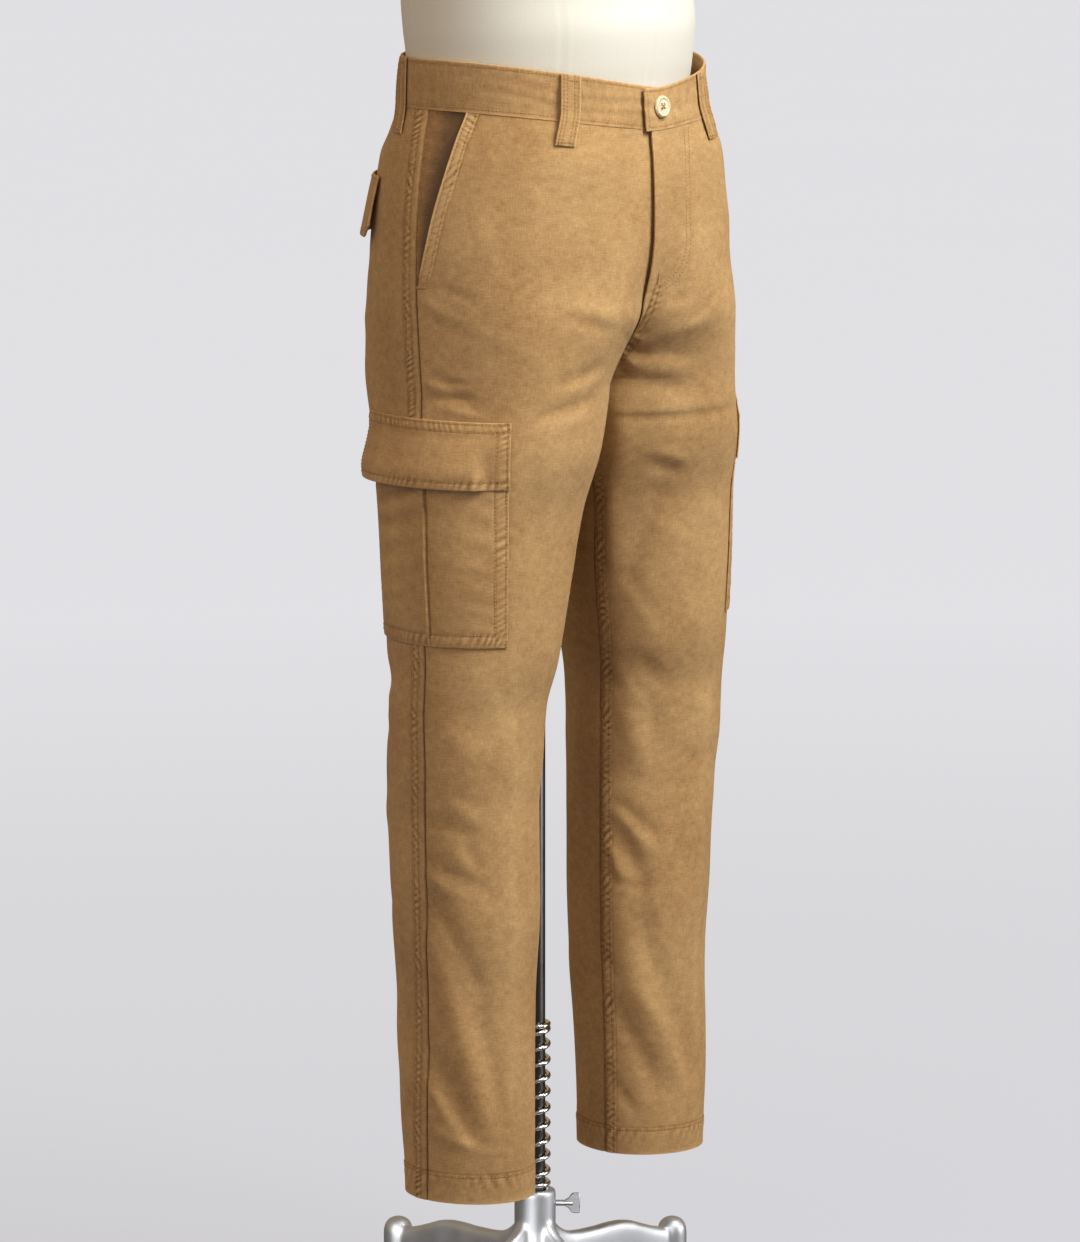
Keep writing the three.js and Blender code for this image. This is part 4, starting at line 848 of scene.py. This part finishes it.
for side, hand in ((-1, "right"), (1, "left")):
    for face, where in ((-1, "front"), (1, "back")):
        made = panel(f"{where}_{hand}", side, face)
    up = np.linspace(2, WAIST_SEAM - 2, 700)
    legs = np.linspace(2, FORK - 3, 600)
    rows = []
    for away in (SIDE_FIRST, SIDE_BAND - 2.4):
        lift, _ = felled(np.full_like(up, away), up, side + 2.5, SIDE_BAND, SIDE_FIRST)
        rows.append(on_cloth(side, np.full_like(up, away), up, lift + THREAD_LIFT))
    for away in (2.6, FELLED - 2.4):
        lift, _ = felled(np.full_like(legs, away), legs, side - 0.5)
        rows.append(on_cloth(side, away - face_length(-1, legs), legs, lift + THREAD_LIFT))
    for face in (-1, 1):
        around = np.linspace(3, face_length(face, HEM_DEPTH) - 3, 300)
        lift, _ = panel_lift(side, face, around, around[::-1], np.full_like(around, HEM_DEPTH - 2.5))
        level = np.full_like(around, HEM_DEPTH - 2.5)
        rows.append(on_cloth(side, face * around, level, lift + THREAD_LIFT))
    sew(f"thread_leg_{hand}", rows)

# ---------------------------------------------------------------- slanted pockets and fly
# Behind each slanted edge a facing of the same twill runs from the side seam into the pocket. The
# edges are topstitched twice with a bar at the foot, and the left front's fly has a curved stitch.


def bar_tack(side, s, z, length, lift, upright=False):
    """A row of seven close stitches side by side, across a seam's end, as rows to sew."""
    rows = []
    for step in np.linspace(-length / 2, length / 2, 9):
        ends = np.array([-1.3, 1.3])
        across, up = (s + ends, z + step + 0 * ends) if upright else (s + step + 0 * ends, z + ends)
        points, out = garment(side, np.linspace(*across, 12), np.linspace(*up, 12), lift)
        rows.append((points, out, 2.4, 0.4))
    return rows


def pocket_facing(side, hand):
    """Facing from the side seam to 18 mm behind the slanted edge, sinking beneath the front panel."""
    z = np.linspace(POCKET_FOOT - 15, WAIST_SEAM - GAP / 2, 112)[:, None]
    edge = pocket_edge(z)
    share = np.linspace(0, 1, 30)[None, :]
    s = -GAP / 2 - (edge + 18 - GAP / 2) * share
    high = -0.1 - 1.6 * ease(-s / np.maximum(edge, 1)) - 0.5 * bell(s + 1, 1.5)
    high = high + 0.25 * ripple(z - 0.5 * s, 19, side) * bell(s + edge / 2, 14)
    z = np.broadcast_to(z, s.shape)
    outer, out = garment(side, s, z, high)
    uv = np.stack([s + 300 * side, z + 90], -1)
    # Painted shade: the whole facing darker, darkest close to the slanted edge that overhangs it.
    wear_and_shade = -2.6 * ease(-s / np.maximum(edge, 1)) - 0.7
    piece = wall_piece(f"facing_{hand}", outer, outer - out * (CLOTH - 0.1), uv, khaki, wear_and_shade)
    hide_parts(f"pocket_facing_{hand}")


for side, hand in ((-1, "right"), (1, "left")):
    pocket_facing(side, hand)
    rows = []
    up = np.linspace(POCKET_FOOT + 3, WAIST_SEAM - 3, 260)
    for away in (2.6, MOUTH_BAND - 2.4):
        lift, _ = panel_lift(side, -1, np.full_like(up, away), np.full_like(up, 150), up)
        rows.append(on_cloth(side, -pocket_edge(up) - away, up, lift + THREAD_LIFT))
    rows += bar_tack(side, -5.5, POCKET_FOOT - 1, 9, 1.0)
    back_rise = np.linspace(FORK + 16, WAIST_SEAM - 3, 300)
    if side < 0:
        for away in (2.6, RISE_BAND - 2.4):
            lift, _ = felled(np.full_like(back_rise, away), back_rise, side + 3.5, RISE_BAND)
            rows.append(on_cloth(side, face_length(1, back_rise) - away, back_rise, lift + THREAD_LIFT))
    else:
        for away in (2.4, 8):
            rise = np.linspace(FORK + 16, 838, 160)
            to_edge = away - front_lap(1, rise)
            lift = fly_lift(1, -1, to_edge, rise) + THREAD_LIFT
            rows.append(on_cloth(side, to_edge - face_length(-1, rise), rise, lift))
        for inset in (0, 6):
            curve = np.linspace(0, np.pi / 2, 60)
            straight = np.linspace(WAIST_SEAM - 3, 868, 120)
            to_edge = np.concatenate([np.full_like(straight, 38 - inset), 2 + (36 - inset) * np.cos(curve)])
            level = np.concatenate([straight, 868 - (44 - inset) * np.sin(curve)])
            lift = fly_lift(1, -1, to_edge, level) + THREAD_LIFT
            rows.append(on_cloth(side, to_edge - face_length(-1, level), level, lift))
        rows += bar_tack(side, 4 - face_length(-1, 836), 836, 9, 3.4, upright=True)
    sew(f"thread_pocket_{hand}", rows)

# ---------------------------------------------------------------- waistband, belt loops and button
# The band is a doubled strip in two halves with a soft interlining, topstitched along both edges.
# Its left end laps over the right one and buttons there. Narrow folded loops hold the belt.


def edged(start, end, step):
    """Places from start to end at even steps, with closer ones where an edge is rounded over."""
    turn = math.copysign(1, end - start) * np.array([0, 0.12, 0.4, 0.85])
    inner = np.linspace(start + turn[-1], end - turn[-1], max(int(abs(end - start) / step), 1) + 1)
    return np.concatenate([start + turn[:-1], inner, (end - turn[:-1])[::-1]])


def rounded(away, radius=1.1):
    """Half thickness, as a share, near a folded edge: a quarter circle of that radius."""
    return np.sqrt(np.clip(1 - (1 - np.clip(away / radius, 0.04, 1)) ** 2, 0, 1))


def band_surface(side, s, nominal):
    """Height of the band's face: proud of the panels, furrowed by its stitches, rumpled lengthwise."""
    to_edge = face_length(-1, WAIST_SEAM) + s
    lift = fly_lift(side, -1, np.where(s < 0, to_edge, 99), nominal) + BAND / 4
    for row in BAND_ROWS:
        lift = lift - 0.3 * bell(nominal - row, 1.1)
    inside = ease((nominal - WAIST_SEAM - 5) / 6) * ease((WAIST_TOP - 5 - nominal) / 6)
    rumple = ripple(nominal + 5 * np.sin(s / 34), 13, side)
    lift += 0.4 * inside * rumple * (0.6 + 0.4 * np.sin(s / 47 + side))
    return lift + 0.14 * ripple(s, 7, 4 * side) * (1 - inside)


for side, hand in ((-1, "right"), (1, "left")):
    nominal = edged(WAIST_SEAM + GAP / 2, WAIST_TOP, 1.9)[:, None]
    back, front = face_length(1, WAIST_SEAM + 4), face_length(-1, WAIST_SEAM - 20)
    lap = FLY_LAP if side > 0 else UNDERLAP
    s = np.concatenate([edged(back - GAP / 2, 0, 2.4)[:-4], edged(0, -front - lap, 2.4)[4:]])[None, :]
    s, nominal = np.broadcast_arrays(s, nominal)
    face = band_surface(side, s, nominal)
    edge = np.minimum(WAIST_TOP - nominal, np.minimum(s + front + lap, back + 5 - s))
    half = BAND / 2 * rounded(edge, 1.3)
    outer, out = garment(side, s, nominal, face)
    outer = outer + out * (half - BAND / 2)[..., None]
    inner = outer - out * (2 * half)[..., None]
    # Folded edges paler, partly wear and partly painted highlight, and painted shade along the rows of
    # stitches.
    wear_and_shade = 0.35 * bell(edge, 1.5)
    for row in BAND_ROWS:
        wear_and_shade = wear_and_shade - 1.1 * bell(nominal - row, 0.9) * (0.7 + 0.3 * ripple(s, 6, row))
    band = wall_piece(f"band_{hand}", outer, inner, np.stack([nominal + 1100, s * side], -1), khaki, wear_and_shade)
    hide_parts(f"waistband_{hand}")
    rows = []
    for level in BAND_ROWS:
        around = np.linspace(back - 3, -front - lap + 4, 900)
        lift = band_surface(side, around, level) + THREAD_LIFT
        rows.append(on_cloth(side, around, np.full_like(around, level), lift))
    if side > 0:
        level = np.linspace(*BAND_ROWS, 40)
        around = np.full_like(level, -front - lap + 3.5)
        rows.append(on_cloth(side, around, level, band_surface(side, around, level) + THREAD_LIFT))
    sew(f"thread_band_{hand}", rows)


def patch(name, node, side, s, z, low, high, cut, wear_and_shade=0):
    """A doubled piece lying on the cloth between two heights over it, its folded edges rounded over."""
    edge = np.minimum.reduce(list(cut))
    middle, half = (low + high) / 2, (high - low) / 2 * rounded(edge)
    outer, _ = garment(side, s, z, middle + half)
    inner, _ = garment(side, s, z, middle - half)
    # Folded edges paler, partly wear and partly painted highlight.
    wear_and_shade = wear_and_shade + 0.3 * bell(edge, 1.3)
    uv = np.stack([s + 500 * side + 7 * len(name), z + 31 * len(name)], -1)
    piece = wall_piece(name, outer, inner, uv, khaki, wear_and_shade)
    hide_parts(node)
    return piece


LOOP_WIDTH, LOOP_FOOT = 18, WAIST_SEAM - 24


def loop_heights(across, z):
    """Underside and face of a belt loop: sewn down at both ends and bowed clear between, its face
    ribbed by two rows of stitches on each side."""
    down = (WAIST_TOP - z) / (WAIST_TOP - LOOP_FOOT)
    seat = mixed(BAND / 4 + GAP + 0.25, GAP + 0.25, down)
    low = seat + 0.9 * np.sqrt(np.sin(np.pi * np.clip(down, 0, 0.999)))
    ribs = -0.3 * (bell(np.abs(across) - 6.4, 0.8) + bell(np.abs(across) - 3.4, 0.8))
    rear = 2.6 * ease((across - 1) / 8) * np.sin(np.pi * np.clip(down, 0, 0.999)) ** 0.6
    return low + rear, low + rear + DOUBLED + 0.2 + ribs + 0.12 * ripple(z + across, 5)


def belt_loop(tail, side, centre):
    """One loop: a strip of four layers of twill, LOOP_WIDTH across."""
    across = edged(-LOOP_WIDTH / 2, LOOP_WIDTH / 2, 0.8)[None, :]
    z = edged(LOOP_FOOT, WAIST_TOP, 1.3)[:, None]
    across, z = np.broadcast_arrays(across, z)
    low, high = loop_heights(across, z)
    cut = (across + LOOP_WIDTH / 2, LOOP_WIDTH / 2 - across, z - LOOP_FOOT, WAIST_TOP - z)
    # Painted shade along the loop's rows of stitches.
    ribs = -1.0 * bell(np.abs(across) - 6.4, 0.8) - 0.8 * bell(np.abs(across) - 3.4, 0.8)
    piece = patch(f"loop_{tail}", f"belt_loop_{tail}", side, centre + across, z, low, high, cut, ribs)
    rows = []
    up = np.linspace(LOOP_FOOT + 2, WAIST_TOP - 2, 60)
    for step in (-6.4, -3.4, 3.4, 6.4):
        _, high = loop_heights(np.full_like(up, step), up)
        rows.append(on_cloth(side, np.full_like(up, centre + step), up, high + THREAD_LIFT))
    for level in (LOOP_FOOT + 4, WAIST_TOP - 5):
        _, high = loop_heights(np.zeros(1), np.full(1, level))
        rows += bar_tack(side, centre, level, 13, high[0] + THREAD_LIFT)
    sew(f"thread_loop_{tail}", rows)


fly_arc = face_length(-1, WAIST_SEAM - 23)
for side, hand in ((-1, "right"), (1, "left")):
    belt_loop(f"front_{hand}", side, 91 - side * FLY_LAP - fly_arc)
    belt_loop(f"side_{hand}", side, 42)
belt_loop("back", 1, face_length(1, WAIST_SEAM + 4))


def horn():
    """Polished pale horn: cloudy streaks on Object coordinates under a clear gloss."""
    material, tree, shader = surface("pale_horn", Roughness=0.3, Subsurface_Weight=0.1,
                                     Subsurface_Radius=(0.003, 0.002, 0.001))
    place = added(tree, "TexCoord").outputs["Object"]
    streaks = noise_on(tree, stretched(tree, place, (220, 220, 700)), 1, 5)
    colour_mix(tree, linear(205, 176, 128), linear(243, 229, 200), streaks, shader.inputs["Base Color"])
    return material


button_low, button_high = (np.array(corner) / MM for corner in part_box("waist_button"))
button_middle = (button_low + button_high) / 2
BUTTON_RADIUS, HOLE_PLACE = 10, 2.0


def facing_front(points):
    """Turns a disc's axis from Z to the wearer's front, tips it back 4 degrees and sets it in place."""
    x, y, z = points.T
    tip = math.radians(4)
    depth, height = -z * math.cos(tip) + y * math.sin(tip), y * math.cos(tip) + z * math.sin(tip)
    return np.stack([x, depth, height], -1) + button_middle


def button_face(radius, turn):
    """Height of the button's face: a dished middle, a raised rim that rolls over, and four holes."""
    share = radius / BUTTON_RADIUS
    rim = 0.9 * bell(share - 0.8, 0.13)
    roll = 1.5 * (1 - np.sqrt(np.clip(1 - np.clip((share - 0.86) / 0.14, 0, 1) ** 2, 0, 1)))
    x, y = radius * np.cos(turn), radius * np.sin(turn)
    holes = np.exp(-((np.hypot(np.abs(x) - HOLE_PLACE, np.abs(y) - HOLE_PLACE) / 0.95) ** 4))
    return 0.75 + rim - roll - 1.9 * holes


def disc(radius, height):
    """Grid of points on circles of these radii at these heights, 96 to a circle."""
    return np.stack(np.broadcast_arrays(radius * np.cos(turn), radius * np.sin(turn), height), -1)


turn = np.arange(96) * 2 * np.pi / 96
radius = np.concatenate([[0.01], np.linspace(0.3, BUTTON_RADIUS, 44)])[:, None]
back_radius = np.array([BUTTON_RADIUS - 0.3, BUTTON_RADIUS - 1.5, 5, 0.01])[:, None]
back_height = np.array([-1.1, -1.55, -1.6, -1.6])[:, None]
button_grid = np.concatenate([disc(radius, button_face(radius, turn)), disc(back_radius, back_height)])[::-1]
button = make_piece("button", facing_front(button_grid.reshape(-1, 3)), ring_faces(len(button_grid), 96),
                    horn(), "form", sharp=50)
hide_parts("waist_button")

rows = []
for corner in (-1, 1):
    for beside in (-0.45, 0, 0.45):
        reach = np.linspace(-2.6, 2.6, 20)
        strand = np.stack([reach - corner * beside * 0.7, corner * reach + beside * 0.7,
                           1.45 - 0.28 * (reach / 1.9) ** 2 + 0.12 * corner], -1)
        rows.append((facing_front(strand), np.tile([0, -1.0, 0], (20, 1)), 5.2, 0.33))
hole_arc, hole_level = face_length(-1, WAIST_SEAM - 5), 1014
for step in np.arange(9.8, 15.2, 0.7):
    for up in (-1.0, 1.0):
        across = np.full(12, step - hole_arc)
        level = hole_level + up + np.linspace(-0.9, 0.9, 12)
        points, out = garment(1, across, level, band_surface(1, across, level) + 0.15)
        rows.append((points, out, 1.8, 0.34))
sew("thread_button", rows)

# ---------------------------------------------------------------- cargo pockets and their flaps
# A patch pocket lies across each side seam at the thigh, with one knife pleat down its middle whose
# rear layer lies on top, and two rows of stitches round it. Its flap is sewn down above the mouth
# and along the front edge, and stands off the pocket behind and below.

CARGO_HALF, CARGO_FOOT, CARGO_MOUTH, FLAP_FOOT, FLAP_TOP = 88, 515, 700, 657, 717
CARGO_BAND, PLEAT, FLAP_SEWN = 12, -8.5, 703


def cargo_front(z):
    """Arc of the pocket's front edge, which leans forward on its way up."""
    return -mixed(80, 89, (z - CARGO_FOOT) / (CARGO_MOUTH - CARGO_FOOT))


def leaning(s, z, front):
    """Draws the arcs ahead of -45 in or out, so that the foremost one lies on the front edge."""
    return np.where(s < -45, -45 + (s + 45) * (front(z) + 45) / (45 - CARGO_HALF), s)


def flap_front(z):
    """Arc of the flap's front edge, just ahead of the pocket's."""
    return np.maximum(cargo_front(z) - 1, -90)


def pleat_wander(z):
    """How far the pleat's fold strays from its line on its way down."""
    return PLEAT + 1.1 * np.sin(z / 36 + 0.6) + 0.5 * np.sin(z / 15)


def cargo_heights(side, s, z):
    """Underside and face of a cargo pocket: swollen in its middle, rumpled across, puckered along
    its stitched edges, with a step at the pleat's fold that fades over the rear layer. The third value
    is painted light and shade: a painted highlight on the pleat's fold, painted shade just before it
    and in the stitch rows, and paler crests and darker troughs on the puckers and rumples."""
    up = np.clip((z - CARGO_FOOT) / (CARGO_MOUTH - CARGO_FOOT), 0, 1)
    low = GAP + 0.1 + 2.2 * (1 - (s / CARGO_HALF) ** 2) * np.sin(np.pi * up) ** 0.8
    ahead = s - cargo_front(z)
    edge = np.minimum(np.minimum(ahead, CARGO_HALF - s), z - CARGO_FOOT)
    inside = ease((edge - 10) / 10) * ease((CARGO_MOUTH - 25 - z) / 30)
    drag = ripple(z + 7 * np.sin(s / 27 + side), 21, 2.0 * side) * (0.6 + 0.4 * np.sin(s / 21 + z / 50))
    high = low + DOUBLED + 0.55 * inside * drag
    fold = s - pleat_wander(z)
    closed = ease((CARGO_MOUTH - z) / 30) * ease((z - CARGO_FOOT) / 8)
    lip = ease(fold / 0.5) * (2.0 + 0.6 * bell(fold - 1.6, 2)) * np.exp(-np.maximum(fold, 0) / 28)
    high += closed * (lip - 0.35 * bell(fold + 0.9, 1.3) * inside)
    # Painted highlight on the pleat's fold and painted shade just before it.
    shade = closed * (0.25 * bell(fold - 1, 1) - 1.6 * bell(fold + 0.7, 1.1))
    low = low - 0.1 * closed
    pucker = np.zeros_like(s)
    for away, place, seed in ((ahead, z, 1), (CARGO_HALF - s, z, 2), (z - CARGO_FOOT, s, 3)):
        clear = ease((edge + 14 - away) / 14)
        for row in (2.2, CARGO_BAND):
            valley = bell(away - row, 0.9) * clear
            high, shade = high - 0.4 * valley, shade - 0.8 * valley
        pucker += ripple(place + 0.5 * away, 6.5, seed + side) * bell(away - 7, 5.5) * clear
    return low, high + 0.42 * pucker, shade + 0.8 * pucker + 0.4 * inside * drag


def with_fine(places, middle, reach, step):
    """Adds close places within reach of the middle one."""
    close = np.arange(middle - reach, middle + reach, step)
    return np.unique(np.concatenate([places[np.abs(places - middle) > reach], close]))


def flap_heights(side, s, z):
    """Underside and face of a cargo flap: down on the panel along its top, then standing off more
    and more towards its foot and its rear, puckered by its stitches. The third value is painted
    light and shade: painted shade in the stitch rows, and paler crests and darker troughs on the
    puckers."""
    ahead = s - flap_front(z)
    below = FLAP_SEWN - z
    seat = np.where(z > FLAP_SEWN, mixed(GAP + 0.05, 1, (FLAP_TOP - z) / 9), mixed(1.55, 2.25, ease(below / 6)))
    clear = 5.5 * ease(below / 36) * ease((ahead - 20) / 12)
    low = seat + clear + 4.5 * ease(below / 46) * ease((s + 60) / 150)
    high = low + DOUBLED
    shade = np.zeros_like(s)
    pucker = np.zeros_like(s)
    for away, place, rows, seed in ((FLAP_TOP - z, s, (2.2, 9), 4), (z - FLAP_FOOT, s, (7,), 5),
                                    (ahead, z, (2.2, CARGO_BAND), 6)):
        for row in rows:
            valley = bell(away - row, 0.9)
            high, shade = high - 0.4 * valley, shade - 0.9 * valley
        pucker += ripple(place + 0.4 * away, 6.5, seed + side) * bell(away - 5, 4.5)
    dents = ripple(s, 27, side) * bell(z - 686, 13) + 0.5 * ripple(z, 16, side)
    return low, high + 0.4 * pucker + 0.45 * dents * ease((z - FLAP_FOOT - 4) / 10), shade + 0.8 * pucker


for side, hand in ((-1, "right"), (1, "left")):
    s = with_fine(edged(-CARGO_HALF, CARGO_HALF, 1.7), PLEAT, 2.8, 0.35)[None, :]
    z = edged(CARGO_FOOT, CARGO_MOUTH, 2.2)[:, None]
    s, z = np.broadcast_arrays(s, z)
    s = leaning(s, z, cargo_front)
    low, high, wear_and_shade = cargo_heights(side, s, z)
    cut = (s - cargo_front(z), CARGO_HALF - s, z - CARGO_FOOT, CARGO_MOUTH - z)
    pocket = patch(f"pocket_{hand}", f"cargo_pocket_{hand}", side, s, z, low, high, cut, wear_and_shade)

    s, z = np.broadcast_arrays(edged(-CARGO_HALF, CARGO_HALF + 2, 1.7)[None, :],
                               edged(FLAP_FOOT, FLAP_TOP, 1.2)[:, None])
    s = leaning(s, z, flap_front)
    low, high, wear_and_shade = flap_heights(side, s, z)
    cut = (s - flap_front(z), CARGO_HALF + 2 - s, z - FLAP_FOOT, FLAP_TOP - z)
    flap = patch(f"flap_{hand}", f"cargo_flap_{hand}", side, s, z, low, high, cut, wear_and_shade)

    rows = []
    for inset in (2.2, CARGO_BAND):
        up = np.linspace(CARGO_FOOT + inset, FLAP_FOOT + 4, 200)
        over = np.linspace(cargo_front(CARGO_FOOT + inset) + inset, CARGO_HALF - inset, 300)
        for path_s, path_z in ((cargo_front(up) + inset, up), (np.full_like(up, CARGO_HALF - inset), up),
                               (over, np.full_like(over, CARGO_FOOT + inset))):
            _, high, _ = cargo_heights(side, path_s, path_z)
            rows.append(on_cloth(side, path_s, path_z, high + THREAD_LIFT))
    over = np.linspace(-CARGO_HALF + 1.5, CARGO_HALF - 1, 300)
    up = np.linspace(FLAP_FOOT + 3, FLAP_TOP - 2, 80)
    paths = [(over, np.full_like(over, level)) for level in (FLAP_TOP - 2.2, FLAP_TOP - 9, FLAP_FOOT + 7)]
    paths += [(flap_front(up) + inset, up) for inset in (2.2, CARGO_BAND)]
    paths += [(np.full_like(up, CARGO_HALF - 0.2), up)]
    for path_s, path_z in paths:
        _, high, _ = flap_heights(side, path_s, path_z)
        rows.append(on_cloth(side, path_s, path_z, high + THREAD_LIFT))
    sew(f"thread_cargo_{hand}", rows)

# ---------------------------------------------------------------- back pocket flaps
# A flap of two layers with clipped lower corners covers each back pocket. It is sewn in along its
# top, topstitched round its edge, and stands off the seat below.

FLAP_NEAR, FLAP_FAR, SEAT_TOP, SEAT_FOOT = 66, 200, 928, 872
SEAT_DROP = SEAT_TOP - SEAT_FOOT


def seat_flap_heights(side, s, down):
    """Underside and face of a back flap, standing further off the lower it hangs."""
    low = GAP + 1.2 + 6 * down**0.9
    away = np.minimum(np.minimum(s - FLAP_NEAR, FLAP_FAR - s), (1 - down) * SEAT_DROP)
    high = low + 2.4 - 0.3 * bell(away - 5.5, 1.0)
    high = high + 0.3 * ripple(s + 30 * down, 7, side) * bell(away - 4, 4)
    return low, high + 0.4 * np.sin(s / 17 + side) * np.sin(np.pi * down)


def clip_corner(s):
    """How much shorter the flap hangs towards its clipped corners."""
    return 11 * np.clip(1 - np.minimum(s - FLAP_NEAR, FLAP_FAR - s) / 12, 0, 1)


for side, hand in ((-1, "right"), (1, "left")):
    s, down = np.broadcast_arrays(edged(FLAP_NEAR, FLAP_FAR, 2.0)[None, :],
                                  (edged(0, SEAT_DROP, 1.4) / SEAT_DROP)[:, None])
    z = mixed(SEAT_TOP, SEAT_FOOT + clip_corner(s), down)
    low, high = seat_flap_heights(side, s, down)
    cut = (s - FLAP_NEAR, FLAP_FAR - s, down * SEAT_DROP, (1 - down) * SEAT_DROP)
    flap = patch(f"seat_flap_{hand}", f"back_flap_{hand}", side, s, z, low, high, cut)
    over = np.linspace(FLAP_NEAR + 5.5, FLAP_FAR - 5.5, 200)
    drop = np.linspace(0.03, 0.9, 60)
    rows = []
    for path_s, path_down in ((over, np.full_like(over, 0.9)), (over, np.full_like(over, 0.05)),
                              (np.full_like(drop, over[0]), drop), (np.full_like(drop, over[-1]), drop)):
        _, high = seat_flap_heights(side, path_s, path_down)
        path_z = mixed(SEAT_TOP, SEAT_FOOT + clip_corner(path_s), path_down)
        rows.append(on_cloth(side, path_s, path_z, high + THREAD_LIFT))
    sew(f"thread_seat_{hand}", rows)

# ---------------------------------------------------------------- studio: floor, light and camera
# A plain pale floor under a pale sky, a soft light in front and above, a faint warm one at the
# wearer's right, and two cards that only show in reflections. The camera stands at the wearer's
# front right and looks slightly down.


def seen_and_lighting(tree, seen, lighting, strength_socket):
    """Gives one strength, a value or a socket, to what the camera sees directly and another to the
    light that it sheds."""
    path, choice = added(tree, "LightPath"), added(tree, "Mix", A=lighting)
    if isinstance(seen, float):
        choice.inputs["B"].default_value = seen
    else:
        tree.links.new(seen, choice.inputs["B"])
    tree.links.new(path.outputs["Is Camera Ray"], choice.inputs["Factor"])
    tree.links.new(choice.outputs["Result"], strength_socket)


def studio_floor(reach=60):
    """Pale matt floor, faintly uneven in tone by slow noise on Object coordinates, and self lit, the
    more so the further away."""
    material, tree, shader = surface("pale_floor", Roughness=0.9, Specular_IOR_Level=0,
                                     Emission_Color=linear(226, 226, 231))
    place = added(tree, "TexCoord").outputs["Object"]
    tone = noise_on(tree, place, 0.8)
    colour_mix(tree, linear(84, 84, 87), linear(90, 90, 93), tone, shader.inputs["Base Color"])
    apart = added(tree, "VectorMath")
    apart.operation = "LENGTH"
    far = added(tree, "MapRange", From_Min=0.3, From_Max=4.5, To_Min=0.74, To_Max=0.93)
    tree.links.new(place, apart.inputs["Vector"])
    tree.links.new(apart.outputs["Value"], far.inputs["Value"])
    seen_and_lighting(tree, far.outputs["Result"], 0.1, shader.inputs["Emission Strength"])
    mesh = bpy.data.meshes.new("floor")
    corners = [(-reach, -reach, 0), (reach, -reach, 0), (reach, reach, 0), (-reach, reach, 0)]
    mesh.from_pydata(corners, [], [(0, 1, 2, 3)])
    mesh.materials.append(material)
    floor = bpy.data.objects.new("floor", mesh)
    bpy.context.scene.collection.objects.link(floor)


def soft_light(name, place, size, power, colour=(1, 1, 1), card=False):
    """Square area light that faces the middle of the trousers. A card shows in reflections alone."""
    data = bpy.data.lights.new(name, "AREA")
    data.size, data.energy, data.color = size, power, colour
    lamp = bpy.data.objects.new(name, data)
    lamp.location = place
    aim = Vector((0, 0, 0.8)) - Vector(place)
    lamp.rotation_euler = aim.to_track_quat("-Z", "Y").to_euler()
    bpy.context.scene.collection.objects.link(lamp)
    if card:
        lamp.visible_diffuse = lamp.visible_camera = False


studio_floor()
soft_light("front_light", (0.2, -1.95, 2.8), 1.2, 97, (0.91, 0.965, 1))
soft_light("side_light", (-2.8, -0.3, 2.8), 2.0, 15, (1, 0.93, 0.84))
soft_light("left_card", (-2.4, -1.0, 0.7), 1.6, 104, card=True)
soft_light("right_card", (1.6, -2.4, 0.6), 1.2, 46, card=True)
bpy.context.scene.view_settings.view_transform = "Standard"
sky = bpy.data.worlds.new("pale_sky")
bpy.context.scene.world = sky
sky.use_nodes = True
background = sky.node_tree.nodes["Background"]
camera_ray = added(sky.node_tree, "LightPath").outputs["Is Camera Ray"]
warm_light, seen_sky = (0.82, 0.62, 0.42, 1), linear(222, 223, 228)
colour_mix(sky.node_tree, warm_light, seen_sky, camera_ray, background.inputs["Color"])
seen_and_lighting(sky.node_tree, 1.0, 0.58, background.inputs["Strength"])

VIEW_TURN, VIEW_DROP, DISTANCE, LENS = math.radians(48), math.radians(8.6), 6.0, 189.6
TARGET_ASIDE, TARGET_HEIGHT = 0.0046, 0.672
level = math.cos(VIEW_DROP)
ahead = Vector((math.sin(VIEW_TURN) * level, math.cos(VIEW_TURN) * level, -math.sin(VIEW_DROP)))
target = Vector((math.cos(VIEW_TURN) * TARGET_ASIDE, -math.sin(VIEW_TURN) * TARGET_ASIDE, TARGET_HEIGHT))
camera_data = bpy.data.cameras.new("camera")
camera_data.lens, camera_data.sensor_width, camera_data.clip_end = LENS, 36, 200
camera = bpy.data.objects.new("camera", camera_data)
camera.location = target - ahead * DISTANCE
camera.rotation_euler = ahead.to_track_quat("-Z", "Y").to_euler()
bpy.context.scene.collection.objects.link(camera)
bpy.context.scene.camera = camera
